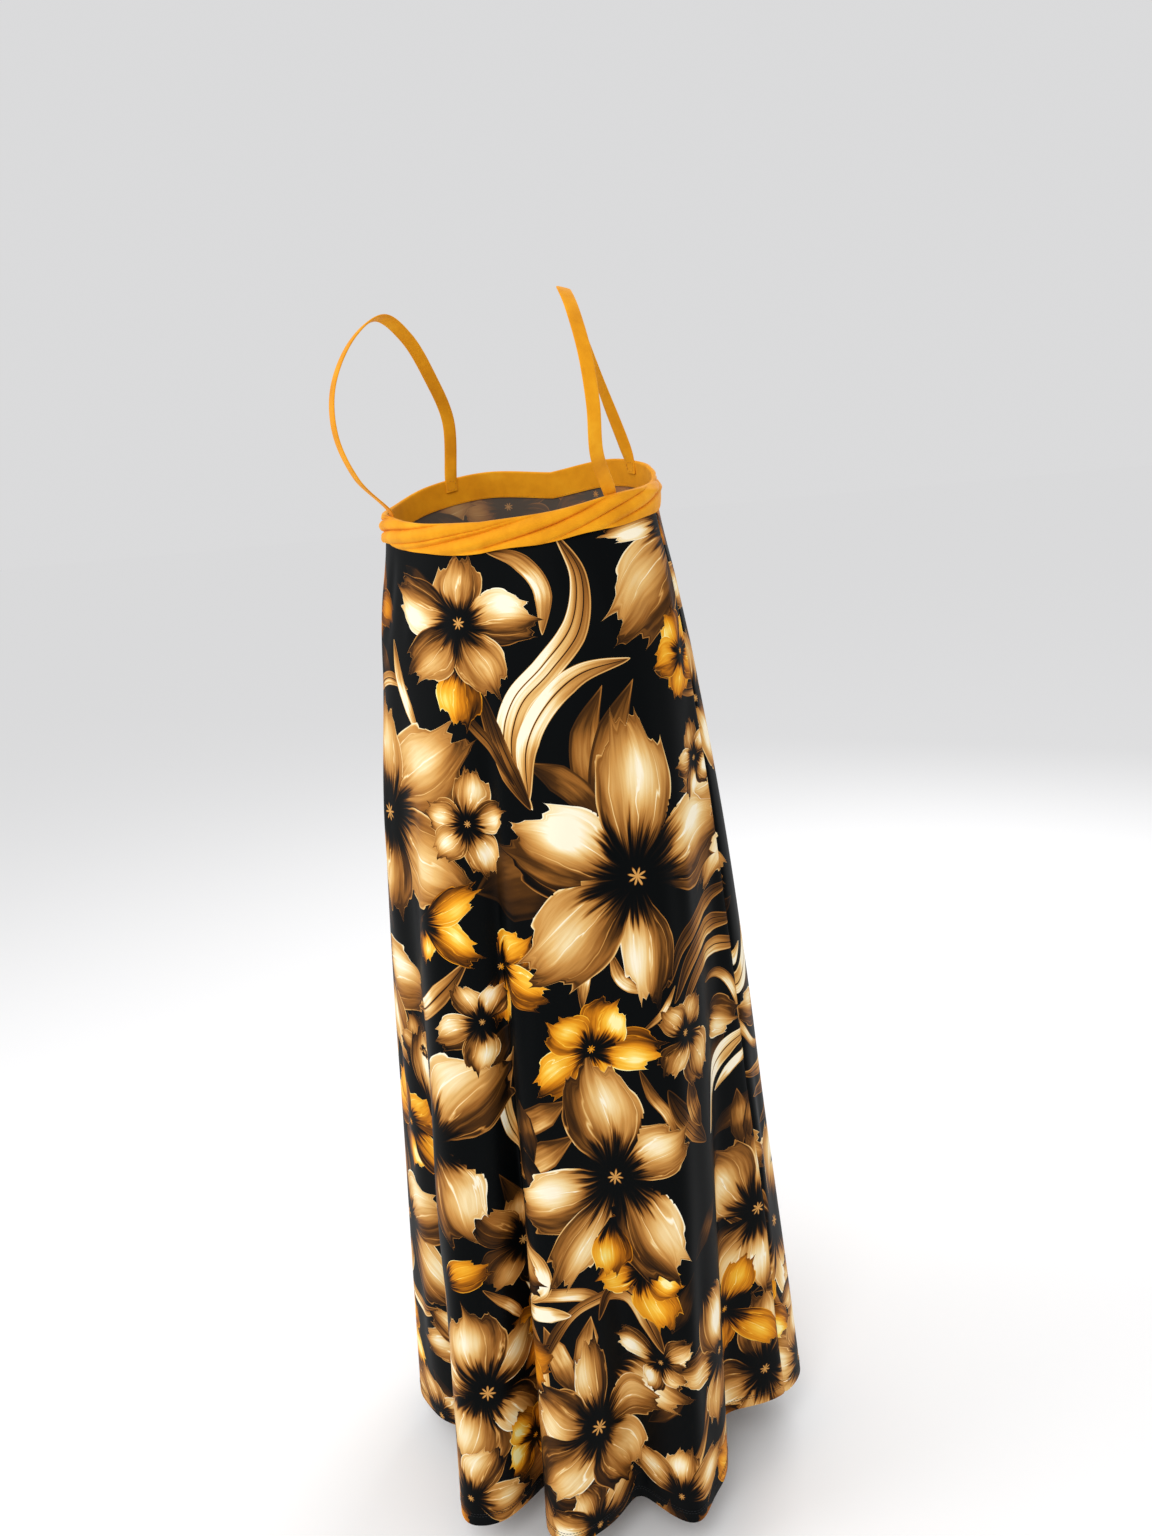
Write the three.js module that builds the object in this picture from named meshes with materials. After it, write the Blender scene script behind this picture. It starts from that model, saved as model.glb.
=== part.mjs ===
// A full-length strap dress, worn: two fluted panels hang from a soft band that two straps hold up.
// Millimetres, +Z up. The wearer faces -Y. The origin lies midway between the undersides of the two
// straps, at the top of the shoulders.
import * as THREE from 'three';

// ---- driving dimensions -------------------------------------------------------------------------
const seamGap = 0.3;            // between pieces that are sewn edge to edge
const panelWall = 1.6;          // printed cloth of the panels
const bandWall = 3.0;           // folded cloth of the band
const bandHeight = 32;
const hemDrop = 1405;           // from the shoulders down to the hem
const strapWidth = 15;
const strapWall = 2.4;
const strapTurn = { behind: 56, before: 132 };   // where a strap meets the band
const shoulderBack = 80;        // shoulders lie this far behind the middle of the dress

const panelColumns = 60;
const panelRows = 20;
const bandColumns = 44;
const bandRows = 2;
const strapSteps = 34;
const hemSamples = 960;         // short steps along the hem that space the columns
const turnStep = 0.5;           // short steps, in degrees and mm, that give the cloth's slopes
const dropStep = 0.5;

// Plan sections of the worn dress without its folds: half ovals, deeper or shallower behind and before.
const sections = [
  { drop: 150, halfWidth: 157, backDepth: 112, frontDepth: 117 },
  { drop: 235, halfWidth: 164, backDepth: 119, frontDepth: 128 },
  { drop: 310, halfWidth: 177, backDepth: 129, frontDepth: 140 },
  { drop: 400, halfWidth: 190, backDepth: 143, frontDepth: 150 },
  { drop: 600, halfWidth: 212, backDepth: 172, frontDepth: 166 },
  { drop: 800, halfWidth: 225, backDepth: 192, frontDepth: 182 },
  { drop: 1000, halfWidth: 232, backDepth: 208, frontDepth: 196 },
  { drop: 1200, halfWidth: 240, backDepth: 222, frontDepth: 210 },
  { drop: 1405, halfWidth: 247, backDepth: 236, frontDepth: 224 },
];

// Top edge of the band, from its middle behind (turn 0) past the side (90) to its middle before (180).
const neckline = [
  { turn: 0, drop: 222 },
  { turn: 28, drop: 218 },
  { turn: 56, drop: 207 },
  { turn: 90, drop: 198 },
  { turn: 120, drop: 178 },
  { turn: 150, drop: 168 },
  { turn: 180, drop: 176 },
];

// Flutes (rise above 0) and troughs (rise below 0) that open towards the hem. A fold starts at the
// drop `from` at `turnTop` degrees, reaches the hem at `turnHem`, and is `spread` degrees to each side.
const folds = [
  { turnTop: 80, turnHem: 75, from: 500, rise: 26, spread: 10 },
  { turnTop: 42, turnHem: 47, from: 320, rise: -40, spread: 9 },
  { turnTop: 25, turnHem: 21, from: 400, rise: 46, spread: 9.5 },
  { turnTop: 2, turnHem: 7.5, from: 320, rise: -60, spread: 3.6 },
  { turnTop: -8, turnHem: -5, from: 520, rise: 30, spread: 8 },
  { turnTop: -27, turnHem: -25, from: 650, rise: -38, spread: 7 },
  { turnTop: -54, turnHem: -39, from: 320, rise: 22, spread: 6 },
  { turnTop: -82, turnHem: -70, from: 300, rise: -66, spread: 13 },
  { turnTop: -122, turnHem: -106, from: 460, rise: 15, spread: 13 },
  { turnTop: -132, turnHem: -129, from: 600, rise: -26, spread: 8 },
  { turnTop: -146, turnHem: -144, from: 480, rise: 24, spread: 8 },
  { turnTop: -158, turnHem: -160, from: 620, rise: -28, spread: 7 },
  { turnTop: -173, turnHem: -175, from: 540, rise: 26, spread: 9 },
  { turnTop: 169, turnHem: 168, from: 660, rise: -24, spread: 7 },
  { turnTop: 154, turnHem: 152, from: 450, rise: 30, spread: 9 },
  { turnTop: 136, turnHem: 133, from: 560, rise: -30, spread: 8 },
  { turnTop: 116, turnHem: 114, from: 640, rise: 22, spread: 9 },
  { turnTop: 97, turnHem: 96, from: 600, rise: -22, spread: 6 },
];
const foldGrowth = 1.15;        // 1 opens a fold evenly on its way down, more opens it late
const hemLift = { turn: -82, rise: 26, spread: 26 };    // the hem rides up a little at one side

// Route of the left strap over the shoulder, its two ends being where it is sewn to the band.
const strapRoute = [
  { out: 138, back: 120, drop: 164 },
  { out: 145, back: 139, drop: 118 },
  { out: 141, back: 138, drop: 70 },
  { out: 124, back: 114, drop: 22 },
  { out: 106, back: 80, drop: 0 },
  { out: 99, back: 34, drop: 16 },
  { out: 98, back: -14, drop: 56 },
  { out: 101, back: -58, drop: 106 },
];
const shoulderCore = { out: 66, back: 50, drop: 80 };   // the straps face away from this point

const printedCloth = new THREE.MeshStandardMaterial({ color: 0x2a1f14, roughness: 0.7, metalness: 0 });
const mustardCloth = new THREE.MeshStandardMaterial({ color: 0xe39a18, roughness: 0.75, metalness: 0 });

// ---- shape of the worn cloth ----------------------------------------------------------------------
const radians = THREE.MathUtils.degToRad;

// Smooth value of a table's column at a place in its first column.
function tableValue(table, key, column, place) {
  const last = table.length - 1;
  if (place <= table[0][key]) return table[0][column];
  if (place >= table[last][key]) return table[last][column];
  let row = 0;
  while (place > table[row + 1][key]) row += 1;
  const slope = (index) => {
    const before = table[Math.max(index - 1, 0)];
    const after = table[Math.min(index + 1, last)];
    return (after[column] - before[column]) / (after[key] - before[key]);
  };
  const span = table[row + 1][key] - table[row][key];
  const t = (place - table[row][key]) / span;
  const t2 = t * t;
  const t3 = t2 * t;
  return table[row][column] * (2 * t3 - 3 * t2 + 1)
    + slope(row) * span * (t3 - 2 * t2 + t)
    + table[row + 1][column] * (3 * t2 - 2 * t3)
    + slope(row + 1) * span * (t3 - t2);
}

// Signed angle from one turn to another, from -180 to 180.
function turnBetween(from, to) {
  return THREE.MathUtils.euclideanModulo(to - from + 180, 360) - 180;
}

// How far the folds push the cloth out at a turn and drop.
function foldRise(turn, drop) {
  return folds.reduce((sum, fold) => {
    const way = (drop - fold.from) / (hemDrop - fold.from);
    if (way <= 0) return sum;
    const middle = fold.turnTop + turnBetween(fold.turnTop, fold.turnHem) * way;
    const side = turnBetween(middle, turn) / fold.spread;
    return sum + fold.rise * way ** foldGrowth * Math.exp(-side * side);
  }, 0);
}

// Point of the cloth's outer face. Turn 0 is the middle of the back, +90 the wearer's left side.
function clothPoint(turn, drop) {
  const angle = radians(turn);
  const width = tableValue(sections, 'drop', 'halfWidth', drop);
  const depth = tableValue(sections, 'drop', Math.cos(angle) >= 0 ? 'backDepth' : 'frontDepth', drop);
  const outward = new THREE.Vector3(Math.sin(angle) / width, Math.cos(angle) / depth, 0).normalize();
  return new THREE.Vector3(Math.sin(angle) * width, Math.cos(angle) * depth, -drop)
    .addScaledVector(outward, foldRise(turn, drop));
}

// Unit normal of the outer face.
function clothNormal(turn, drop) {
  const across = clothPoint(turn + turnStep, drop).sub(clothPoint(turn - turnStep, drop));
  const down = clothPoint(turn, drop + dropStep).sub(clothPoint(turn, drop - dropStep));
  return across.cross(down).normalize();
}

// Turn that lies a distance short of a side seam, so that the two panels keep the seam gap.
function seamTurn(side, inward, drop) {
  const perStep = clothPoint(side + turnStep, drop).distanceTo(clothPoint(side - turnStep, drop)) / 2;
  return side + inward * turnStep * (seamGap / 2 / perStep);
}

// Turns of a half tube's columns, from one side seam to the other in even steps along the hem.
function hemTurns(middle, columns) {
  const turns = [];
  const lengths = [];
  let length = 0;
  for (let sample = 0; sample <= hemSamples; sample += 1) {
    const turn = middle + 90 - 180 * (sample / hemSamples);
    if (sample > 0) length += clothPoint(turn, hemDrop).distanceTo(clothPoint(turns[sample - 1], hemDrop));
    turns.push(turn);
    lengths.push(length);
  }
  let sample = 0;
  return Array.from({ length: columns + 1 }, (_, column) => {
    const wanted = length * (column / columns);
    while (sample + 1 < hemSamples && lengths[sample + 1] < wanted) sample += 1;
    const part = (wanted - lengths[sample]) / (lengths[sample + 1] - lengths[sample]);
    return THREE.MathUtils.lerp(turns[sample], turns[sample + 1], part);
  });
}

const bandTop = (turn) => tableValue(neckline, 'turn', 'drop', Math.abs(turnBetween(0, turn)));
const bandFoot = (turn) => bandTop(turn) + bandHeight;

function hemEdge(turn) {
  const side = turnBetween(hemLift.turn, turn) / hemLift.spread;
  return hemDrop - hemLift.rise * Math.exp(-side * side);
}

// ---- solids -----------------------------------------------------------------------------------------
// Closed wall between an outer and an inner grid of points, rows by columns.
function wallGeometry(outer, inner) {
  const rows = outer.length;
  const columns = outer[0].length;
  const points = [...outer.flat(), ...inner.flat()];
  const faces = [];
  const quad = (a, b, c, d) => faces.push(a, b, c, a, c, d);
  const at = (row, column) => row * columns + column;
  const under = (row, column) => rows * columns + at(row, column);
  for (let row = 0; row + 1 < rows; row += 1) {
    for (let column = 0; column + 1 < columns; column += 1) {
      quad(at(row, column), at(row + 1, column), at(row + 1, column + 1), at(row, column + 1));
      quad(under(row, column), under(row, column + 1), under(row + 1, column + 1), under(row + 1, column));
    }
  }
  for (let column = 0; column + 1 < columns; column += 1) {
    quad(at(0, column), at(0, column + 1), under(0, column + 1), under(0, column));
    quad(at(rows - 1, column + 1), at(rows - 1, column), under(rows - 1, column), under(rows - 1, column + 1));
  }
  for (let row = 0; row + 1 < rows; row += 1) {
    quad(at(row + 1, 0), at(row, 0), under(row, 0), under(row + 1, 0));
    quad(at(row, columns - 1), at(row + 1, columns - 1), under(row + 1, columns - 1), under(row, columns - 1));
  }
  const geometry = new THREE.BufferGeometry();
  geometry.setAttribute('position', new THREE.Float32BufferAttribute(points.flatMap((p) => p.toArray()), 3));
  geometry.setIndex(faces);
  geometry.computeVertexNormals();
  return geometry;
}

// Half tube of cloth between two edges, from one side seam to the other round `middle` degrees.
function halfTube({ middle, topEdge, footEdge, columns, rows, wall, lift }) {
  const plainTurns = hemTurns(middle, columns);
  const outer = [];
  const inner = [];
  for (let row = 0; row <= rows; row += 1) {
    const outerRow = [];
    const innerRow = [];
    for (let column = 0; column <= columns; column += 1) {
      const plainTurn = plainTurns[column];
      const drop = THREE.MathUtils.lerp(topEdge(plainTurn), footEdge(plainTurn), row / rows);
      const first = column === 0;
      const atSeam = first || column === columns;
      const turn = atSeam ? seamTurn(plainTurn, first ? -1 : 1, drop) : plainTurn;
      const normal = clothNormal(turn, drop).setZ(0).normalize();
      const face = clothPoint(turn, drop);
      outerRow.push(face.clone().addScaledVector(normal, lift));
      innerRow.push(face.clone().addScaledVector(normal, lift - wall));
    }
    outer.push(outerRow);
    inner.push(innerRow);
  }
  return wallGeometry(outer, inner);
}

function panelGeometry(middle) {
  return halfTube({
    middle,
    topEdge: (turn) => bandFoot(turn) + seamGap,
    footEdge: hemEdge,
    columns: panelColumns,
    rows: panelRows,
    wall: panelWall,
    lift: 0,
  });
}

function bandGeometry(middle) {
  return halfTube({
    middle,
    topEdge: bandTop,
    footEdge: bandFoot,
    columns: bandColumns,
    rows: bandRows,
    wall: bandWall,
    lift: (bandWall - panelWall) / 2,
  });
}

// Where a strap's middle is sewn to the top of the band, and the way that edge runs there.
function strapRoot(turn) {
  const root = (angle) => clothPoint(angle, bandTop(angle))
    .addScaledVector(clothNormal(angle, bandTop(angle)).setZ(0).normalize(), -panelWall / 2)
    .add(new THREE.Vector3(0, 0, seamGap));
  const edge = root(turn + turnStep).sub(root(turn - turnStep)).normalize();
  return { point: root(turn), edge };
}

// Flat strap from the back of the band over one shoulder to its front; side is +1 on the wearer's left.
function strapGeometry(side) {
  const core = new THREE.Vector3(side * shoulderCore.out, shoulderCore.back, -shoulderCore.drop);
  const behind = strapRoot(side * strapTurn.behind);
  const before = strapRoot(side * strapTurn.before);
  const middlePoints = strapRoute.map(({ out, back, drop }) => (
    new THREE.Vector3(side * out, back, -drop + (drop === 0 ? strapWall / 2 : 0))));
  const route = new THREE.CatmullRomCurve3([behind.point, ...middlePoints, before.point], false, 'centripetal');
  const outer = [];
  const inner = [];
  for (let step = 0; step <= strapSteps; step += 1) {
    const t = step / strapSteps;
    const point = route.getPointAt(t);
    const along = route.getTangentAt(t);
    const across = point.clone().sub(core).cross(along).normalize();
    if (step === 0) across.copy(behind.edge).multiplyScalar(Math.sign(across.dot(behind.edge)));
    if (step === strapSteps) across.copy(before.edge).multiplyScalar(Math.sign(across.dot(before.edge)));
    const outward = along.clone().cross(across).normalize();
    if (step === 0 || step === strapSteps) outward.setZ(0).normalize();
    const corner = (width, height) => point.clone()
      .addScaledVector(across, width * strapWidth / 2)
      .addScaledVector(outward, height * strapWall / 2);
    outer.push([corner(-1, 1), corner(1, 1)]);
    inner.push([corner(-1, -1), corner(1, -1)]);
  }
  return wallGeometry(outer, inner);
}

// ---- the dress --------------------------------------------------------------------------------------
function piece(name, geometry, material) {
  const mesh = new THREE.Mesh(geometry, material);
  mesh.name = name;
  return mesh;
}

const dress = new THREE.Group();
dress.position.y = -shoulderBack;
dress.add(
  piece('back_panel', panelGeometry(0), printedCloth),
  piece('front_panel', panelGeometry(180), printedCloth),
  piece('back_band', bandGeometry(0), mustardCloth),
  piece('front_band', bandGeometry(180), mustardCloth),
  piece('strap_left', strapGeometry(1), mustardCloth),
  piece('strap_right', strapGeometry(-1), mustardCloth),
);

export default dress;
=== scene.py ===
import bpy
import math
import numpy as np
from mathutils import Matrix, Vector


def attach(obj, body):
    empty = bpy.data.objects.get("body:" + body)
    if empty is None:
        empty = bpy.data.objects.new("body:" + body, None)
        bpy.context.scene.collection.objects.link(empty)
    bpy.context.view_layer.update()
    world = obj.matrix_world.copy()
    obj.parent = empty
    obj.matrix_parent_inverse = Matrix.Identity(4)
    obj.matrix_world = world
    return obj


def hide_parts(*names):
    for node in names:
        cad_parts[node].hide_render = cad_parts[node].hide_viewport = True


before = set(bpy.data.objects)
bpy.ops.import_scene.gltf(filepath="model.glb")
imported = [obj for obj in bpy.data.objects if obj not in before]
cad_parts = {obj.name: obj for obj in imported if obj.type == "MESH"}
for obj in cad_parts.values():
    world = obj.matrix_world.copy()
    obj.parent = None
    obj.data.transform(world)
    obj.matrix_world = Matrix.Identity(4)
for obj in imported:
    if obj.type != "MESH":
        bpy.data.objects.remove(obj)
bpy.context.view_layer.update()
print("frame loaded")

# the worn dress, in mm and degrees: turn 0 is the middle of the back, +90 the wearer's left side
dress = {
    "shoulderBack": 80,      # the shoulders lie this far behind the middle of the dress
    "hemDrop": 1405,
    "bandHeight": 32,
    "foldGrowth": 1.15,
    "sections": [            # drop, half width, depth behind, depth before
        (150, 157, 112, 117),
        (235, 164, 119, 128),
        (310, 177, 129, 140),
        (400, 190, 143, 150),
        (600, 212, 172, 166),
        (800, 225, 192, 182),
        (1000, 232, 208, 196),
        (1200, 240, 222, 210),
        (1405, 247, 236, 224),
    ],
    "neckline": [            # turn, drop of the band's top edge
        (0, 222),
        (28, 218),
        (56, 207),
        (90, 198),
        (120, 178),
        (150, 168),
        (180, 176),
    ],
    "folds": [               # turn at the top, turn at the hem, drop where it starts, rise, spread
        (80, 75, 500, 26, 10),
        (42, 47, 320, -40, 9),
        (25, 21, 400, 46, 9.5),
        (2, 7.5, 320, -60, 3.6),
        (-8, -5, 520, 30, 8),
        (-27, -25, 650, -38, 7),
        (-54, -39, 320, 22, 6),
        (-82, -70, 300, -66, 13),
        (-122, -106, 460, 15, 13),
        (-132, -129, 600, -26, 8),
        (-146, -144, 480, 24, 8),
        (-158, -160, 620, -28, 7),
        (-173, -175, 540, 26, 9),
        (169, 168, 660, -24, 7),
        (154, 152, 450, 30, 9),
        (136, 133, 560, -30, 8),
        (116, 114, 640, 22, 9),
        (97, 96, 600, -22, 6),
    ],
    "hemLift": {"turn": -82, "rise": 26, "spread": 26},
}
mm = 0.001


def tableValue(rows, column, place):
    # smooth curve through one column of a table
    keys = np.array([row[0] for row in rows], float)
    values = np.array([row[column] for row in rows], float)
    last = len(keys) - 1
    before = np.maximum(np.arange(last + 1) - 1, 0)
    after = np.minimum(np.arange(last + 1) + 1, last)
    slopes = (values[after] - values[before]) / (keys[after] - keys[before])
    place = np.clip(np.asarray(place, float), keys[0], keys[-1])
    row = np.clip(np.searchsorted(keys, place, side="right") - 1, 0, last - 1)
    span = keys[row + 1] - keys[row]
    t = (place - keys[row]) / span
    return (values[row] * (2 * t**3 - 3 * t**2 + 1) + slopes[row] * span * (t**3 - 2 * t**2 + t)
            + values[row + 1] * (3 * t**2 - 2 * t**3) + slopes[row + 1] * span * (t**3 - t**2))


def turnBetween(start, end):
    return np.mod(np.asarray(end, float) - start + 180, 360) - 180


# soft creases too small for the solids: turn, drop of the middle, half length, drift in degrees, rise in mm,
# spread
creases = [
    (66, 330, 90, -5, 2.6, 5), (52, 300, 70, 4, -2.4, 4), (33, 310, 60, 3, 2.2, 4),
    (18, 345, 95, -3, -2.2, 4), (-14, 320, 80, 3, 1.8, 5), (-33, 300, 60, -4, -2.2, 4),
    (-46, 345, 90, -6, 2.4, 4), (-64, 320, 85, -5, -3.0, 5), (-79, 350, 120, 2, 2.6, 4),
    (60, 560, 170, -5, 3.2, 4), (35, 620, 160, 3, -3.0, 3.5), (14, 640, 210, -3, 3.4, 3.5),
    (-4, 760, 170, 2, -3.0, 4), (-17, 640, 190, 3, 3.0, 5), (-36, 560, 140, -3, -2.6, 5),
    (-60, 640, 180, 4, 3.0, 4), (-84, 720, 200, 3, -3.6, 4), (66, 900, 190, -3, -3.6, 4),
    (30, 1010, 220, 3, 4.0, 3.2), (13, 1130, 180, -2, -3.6, 3), (-1, 1080, 200, 2, 3.4, 3),
    (-12, 1200, 170, 2, -4.0, 3), (-33, 1060, 230, -3, 3.6, 3.5), (-47, 1180, 180, 3, -3.4, 3),
    (-90, 1100, 240, 4, 4.2, 4), (84, 1180, 200, -3, 4.4, 4), (58, 1230, 160, 3, 3.8, 4),
    (105, 330, 90, -4, 2.4, 5), (128, 300, 80, 5, -2.6, 5), (147, 340, 90, -4, 2.4, 5),
    (166, 320, 70, 4, -2.0, 5), (-175, 350, 90, 3, 2.2, 5), (-152, 320, 80, -5, -2.6, 5),
    (-131, 340, 90, 4, 2.6, 5), (-108, 310, 80, 4, -2.4, 5), (122, 700, 180, 4, 3.4, 4),
    (143, 640, 160, -3, -3.2, 4), (160, 800, 200, 3, 3.4, 4), (178, 700, 170, -3, -3.0, 4),
    (-163, 820, 200, 3, 3.4, 4), (-139, 700, 180, -4, -3.4, 4), (-118, 840, 210, 3, 3.6, 4),
    (126, 1120, 210, -3, -3.8, 3.5), (145, 1200, 180, 3, 3.8, 3.5), (161, 1100, 220, -2, -3.6, 3),
    (-178, 1180, 190, 2, 3.8, 3), (-168, 1080, 200, -3, -3.6, 3), (-150, 1190, 180, 2, 3.8, 3.5),
    (-136, 1090, 210, -3, 3.6, 3), (-121, 1180, 190, 3, -3.8, 3.5), (-98, 1010, 200, -3, -3.4, 4),
]


def foldRise(turn, drop):
    rise = np.zeros_like(turn)
    for turnTop, turnHem, start, height, spread in dress["folds"]:
        way = np.clip((drop - start) / (dress["hemDrop"] - start), 0, None)
        middle = turnTop + turnBetween(turnTop, turnHem) * way
        side = turnBetween(middle, turn) / spread
        rise += height * way ** dress["foldGrowth"] * np.exp(-side * side)
    return rise


def creaseRise(turn, drop):
    rise = np.zeros_like(turn)
    for middle, dropMiddle, halfLength, drift, height, spread in creases:
        way = (drop - dropMiddle) / halfLength
        fade = np.where(np.abs(way) < 1, np.cos(np.clip(way, -1, 1) * math.pi / 2) ** 2, 0)
        side = turnBetween(middle + drift * way, turn) / spread
        rise += height * fade * np.exp(-side * side)
    return rise


def clothPoint(turn, drop, creased=False):
    # outer face of the cloth, in mm in the part's frame
    turn, drop = np.broadcast_arrays(np.asarray(turn, float), np.asarray(drop, float))
    angle = np.radians(turn)
    width = tableValue(dress["sections"], 1, drop)
    behind = tableValue(dress["sections"], 2, drop)
    before = tableValue(dress["sections"], 3, drop)
    depth = np.where(np.cos(angle) >= 0, behind, before)
    outward = np.stack([np.sin(angle) / width, np.cos(angle) / depth], -1)
    outward /= np.linalg.norm(outward, axis=-1, keepdims=True)
    rise = foldRise(turn, drop)
    if creased:
        rise = rise + creaseRise(turn, drop)
    x = np.sin(angle) * width + outward[..., 0] * rise
    y = np.cos(angle) * depth + outward[..., 1] * rise - dress["shoulderBack"]
    return np.stack([x, y, -drop], -1)


def clothNormal(turn, drop, creased=False):
    step = 0.5
    across = clothPoint(turn + step, drop, creased) - clothPoint(turn - step, drop, creased)
    down = clothPoint(turn, drop + step, creased) - clothPoint(turn, drop - step, creased)
    normal = np.cross(across, down)
    return normal / np.linalg.norm(normal, axis=-1, keepdims=True)


def bandTop(turn):
    return tableValue(dress["neckline"], 1, np.abs(turnBetween(0, turn)))


def hemEdge(turn):
    lift = dress["hemLift"]
    side = turnBetween(lift["turn"], turn) / lift["spread"]
    return dress["hemDrop"] - lift["rise"] * np.exp(-side * side)


def evenTurns(middle, columns):
    # columns from one side seam to the other, in even steps along the hem
    finer = 8
    turns = np.linspace(middle + 90, middle - 90, columns * finer + 1)
    points = clothPoint(turns, np.full_like(turns, dress["hemDrop"]))
    length = np.concatenate([[0], np.cumsum(np.linalg.norm(np.diff(points, axis=0), axis=1))])
    return np.interp(np.linspace(0, length[-1], columns + 1), length, turns)


def gridFaces(rows, columns, closed=False):
    # quads of a grid of points, facing the side that turns clockwise from its columns to its rows
    row = np.arange(rows - 1)[:, None] * columns
    column = np.arange(columns if closed else columns - 1)[None, :]
    beside = (column + 1) % columns
    quads = np.stack([row + column, row + columns + column, row + columns + beside, row + beside], -1)
    return quads.reshape(-1, 4)


def addMesh(name, points, faces, sharpness=60):
    mesh = bpy.data.meshes.new(name)
    mesh.from_pydata((np.asarray(points).reshape(-1, 3) * mm).tolist(), [], np.asarray(faces).tolist())
    mesh.update()
    mesh.shade_smooth()
    mesh.set_sharp_from_angle(angle=math.radians(sharpness))
    piece = bpy.data.objects.new(name, mesh)
    bpy.context.scene.collection.objects.link(piece)
    return piece


def wallPoints(outer, inner):
    # one closed wall from an outer and an inner grid
    rows, columns = outer.shape[:2]
    face = gridFaces(rows, columns)
    far = rows * columns
    down = np.arange(rows - 1) * columns
    side = np.arange(columns - 1)
    foot = (rows - 1) * columns
    edges = [
        np.stack([side, side + 1, far + side + 1, far + side], -1),
        np.stack([foot + side + 1, foot + side, far + foot + side, far + foot + side + 1], -1),
        np.stack([down + columns, down, far + down, far + down + columns], -1),
        np.stack([down + columns - 1, down + 2 * columns - 1, far + down + 2 * columns - 1,
                  far + down + columns - 1], -1),
    ]
    return np.concatenate([outer.reshape(-1, 3), inner.reshape(-1, 3)]), face, face[:, ::-1] + far, edges


panel = {
    "columns": 212,
    "rows": 196,
    "wall": 0.9,
    "tuck": 8,           # the top edge reaches this far up inside the band
    "tuckSink": 0.3,     # under the band the panel lies this much deeper
    "tuckStart": 2,      # from this far below the band's foot
    "tuckFade": 4,
    "seamGap": 0.045,    # degrees that the panel stops short of the side seam
    "seamColumns": (0.0, 0.35, 0.8),    # degrees of the first columns from the seam
    "seamRoll": 1.7,     # the seam edge turns in by this much
    "rollSpread": 0.7,   # within about this many degrees
    "hemTurn": 17,       # height of the turned hem
    "hemWall": 1.7,
}


def panelGrid(middle):
    # turns and drops of a panel's grid, from one side seam to the other
    plain = evenTurns(middle, panel["columns"])
    near = np.array(panel["seamColumns"])
    plain = np.concatenate([plain[0] - near, plain[1:-1], plain[-1] + near[::-1]])
    plain[[0, -1]] += np.array([-1, 1]) * panel["seamGap"]
    way = np.linspace(0, 1, panel["rows"] + 1)[:, None]
    top = bandTop(plain)[None, :] + dress["bandHeight"] - panel["tuck"]
    drop = top + (hemEdge(plain)[None, :] - top) * way
    return np.broadcast_to(plain[None, :], drop.shape), drop


def addPanel(name, middle):
    turn, drop = panelGrid(middle)
    face = clothPoint(turn, drop, True)
    normal = clothNormal(turn, drop, True)
    normal[..., 2] = 0
    normal /= np.linalg.norm(normal, axis=-1, keepdims=True)
    toSeam = 90 - np.abs(turnBetween(middle, turn))
    roll = panel["seamRoll"] * np.exp(-(toSeam / panel["rollSpread"]) ** 2)
    above = hemEdge(turn) - drop
    wall = np.where(above < panel["hemTurn"], panel["hemWall"], panel["wall"])
    underBand = bandTop(turn) + dress["bandHeight"] + panel["tuckStart"] - drop
    tucked = np.clip(underBand / panel["tuckFade"], 0, 1) * panel["tuckSink"]
    outer = face - normal * (roll + tucked)[..., None]
    inner = outer - normal * wall[..., None]
    points, front, back, edges = wallPoints(outer, inner)
    piece = addMesh(name, points, np.concatenate([front, back, *edges]))
    length = np.linalg.norm(np.diff(face, axis=1), axis=2)
    across = np.concatenate([np.zeros((len(face), 1)), np.cumsum(length, axis=1)], 1)
    middleColumn = np.abs(turnBetween(middle, turn[0])).argmin()
    across = across - across[:, middleColumn:middleColumn + 1]
    inside = np.zeros(len(piece.data.polygons), np.int32)
    inside[len(front):len(front) * 2] = 1
    piece.data.materials.append(None)
    piece.data.materials.append(None)
    piece.data.polygons.foreach_set("material_index", inside)
    return piece, across.ravel(), drop.ravel()


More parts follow.
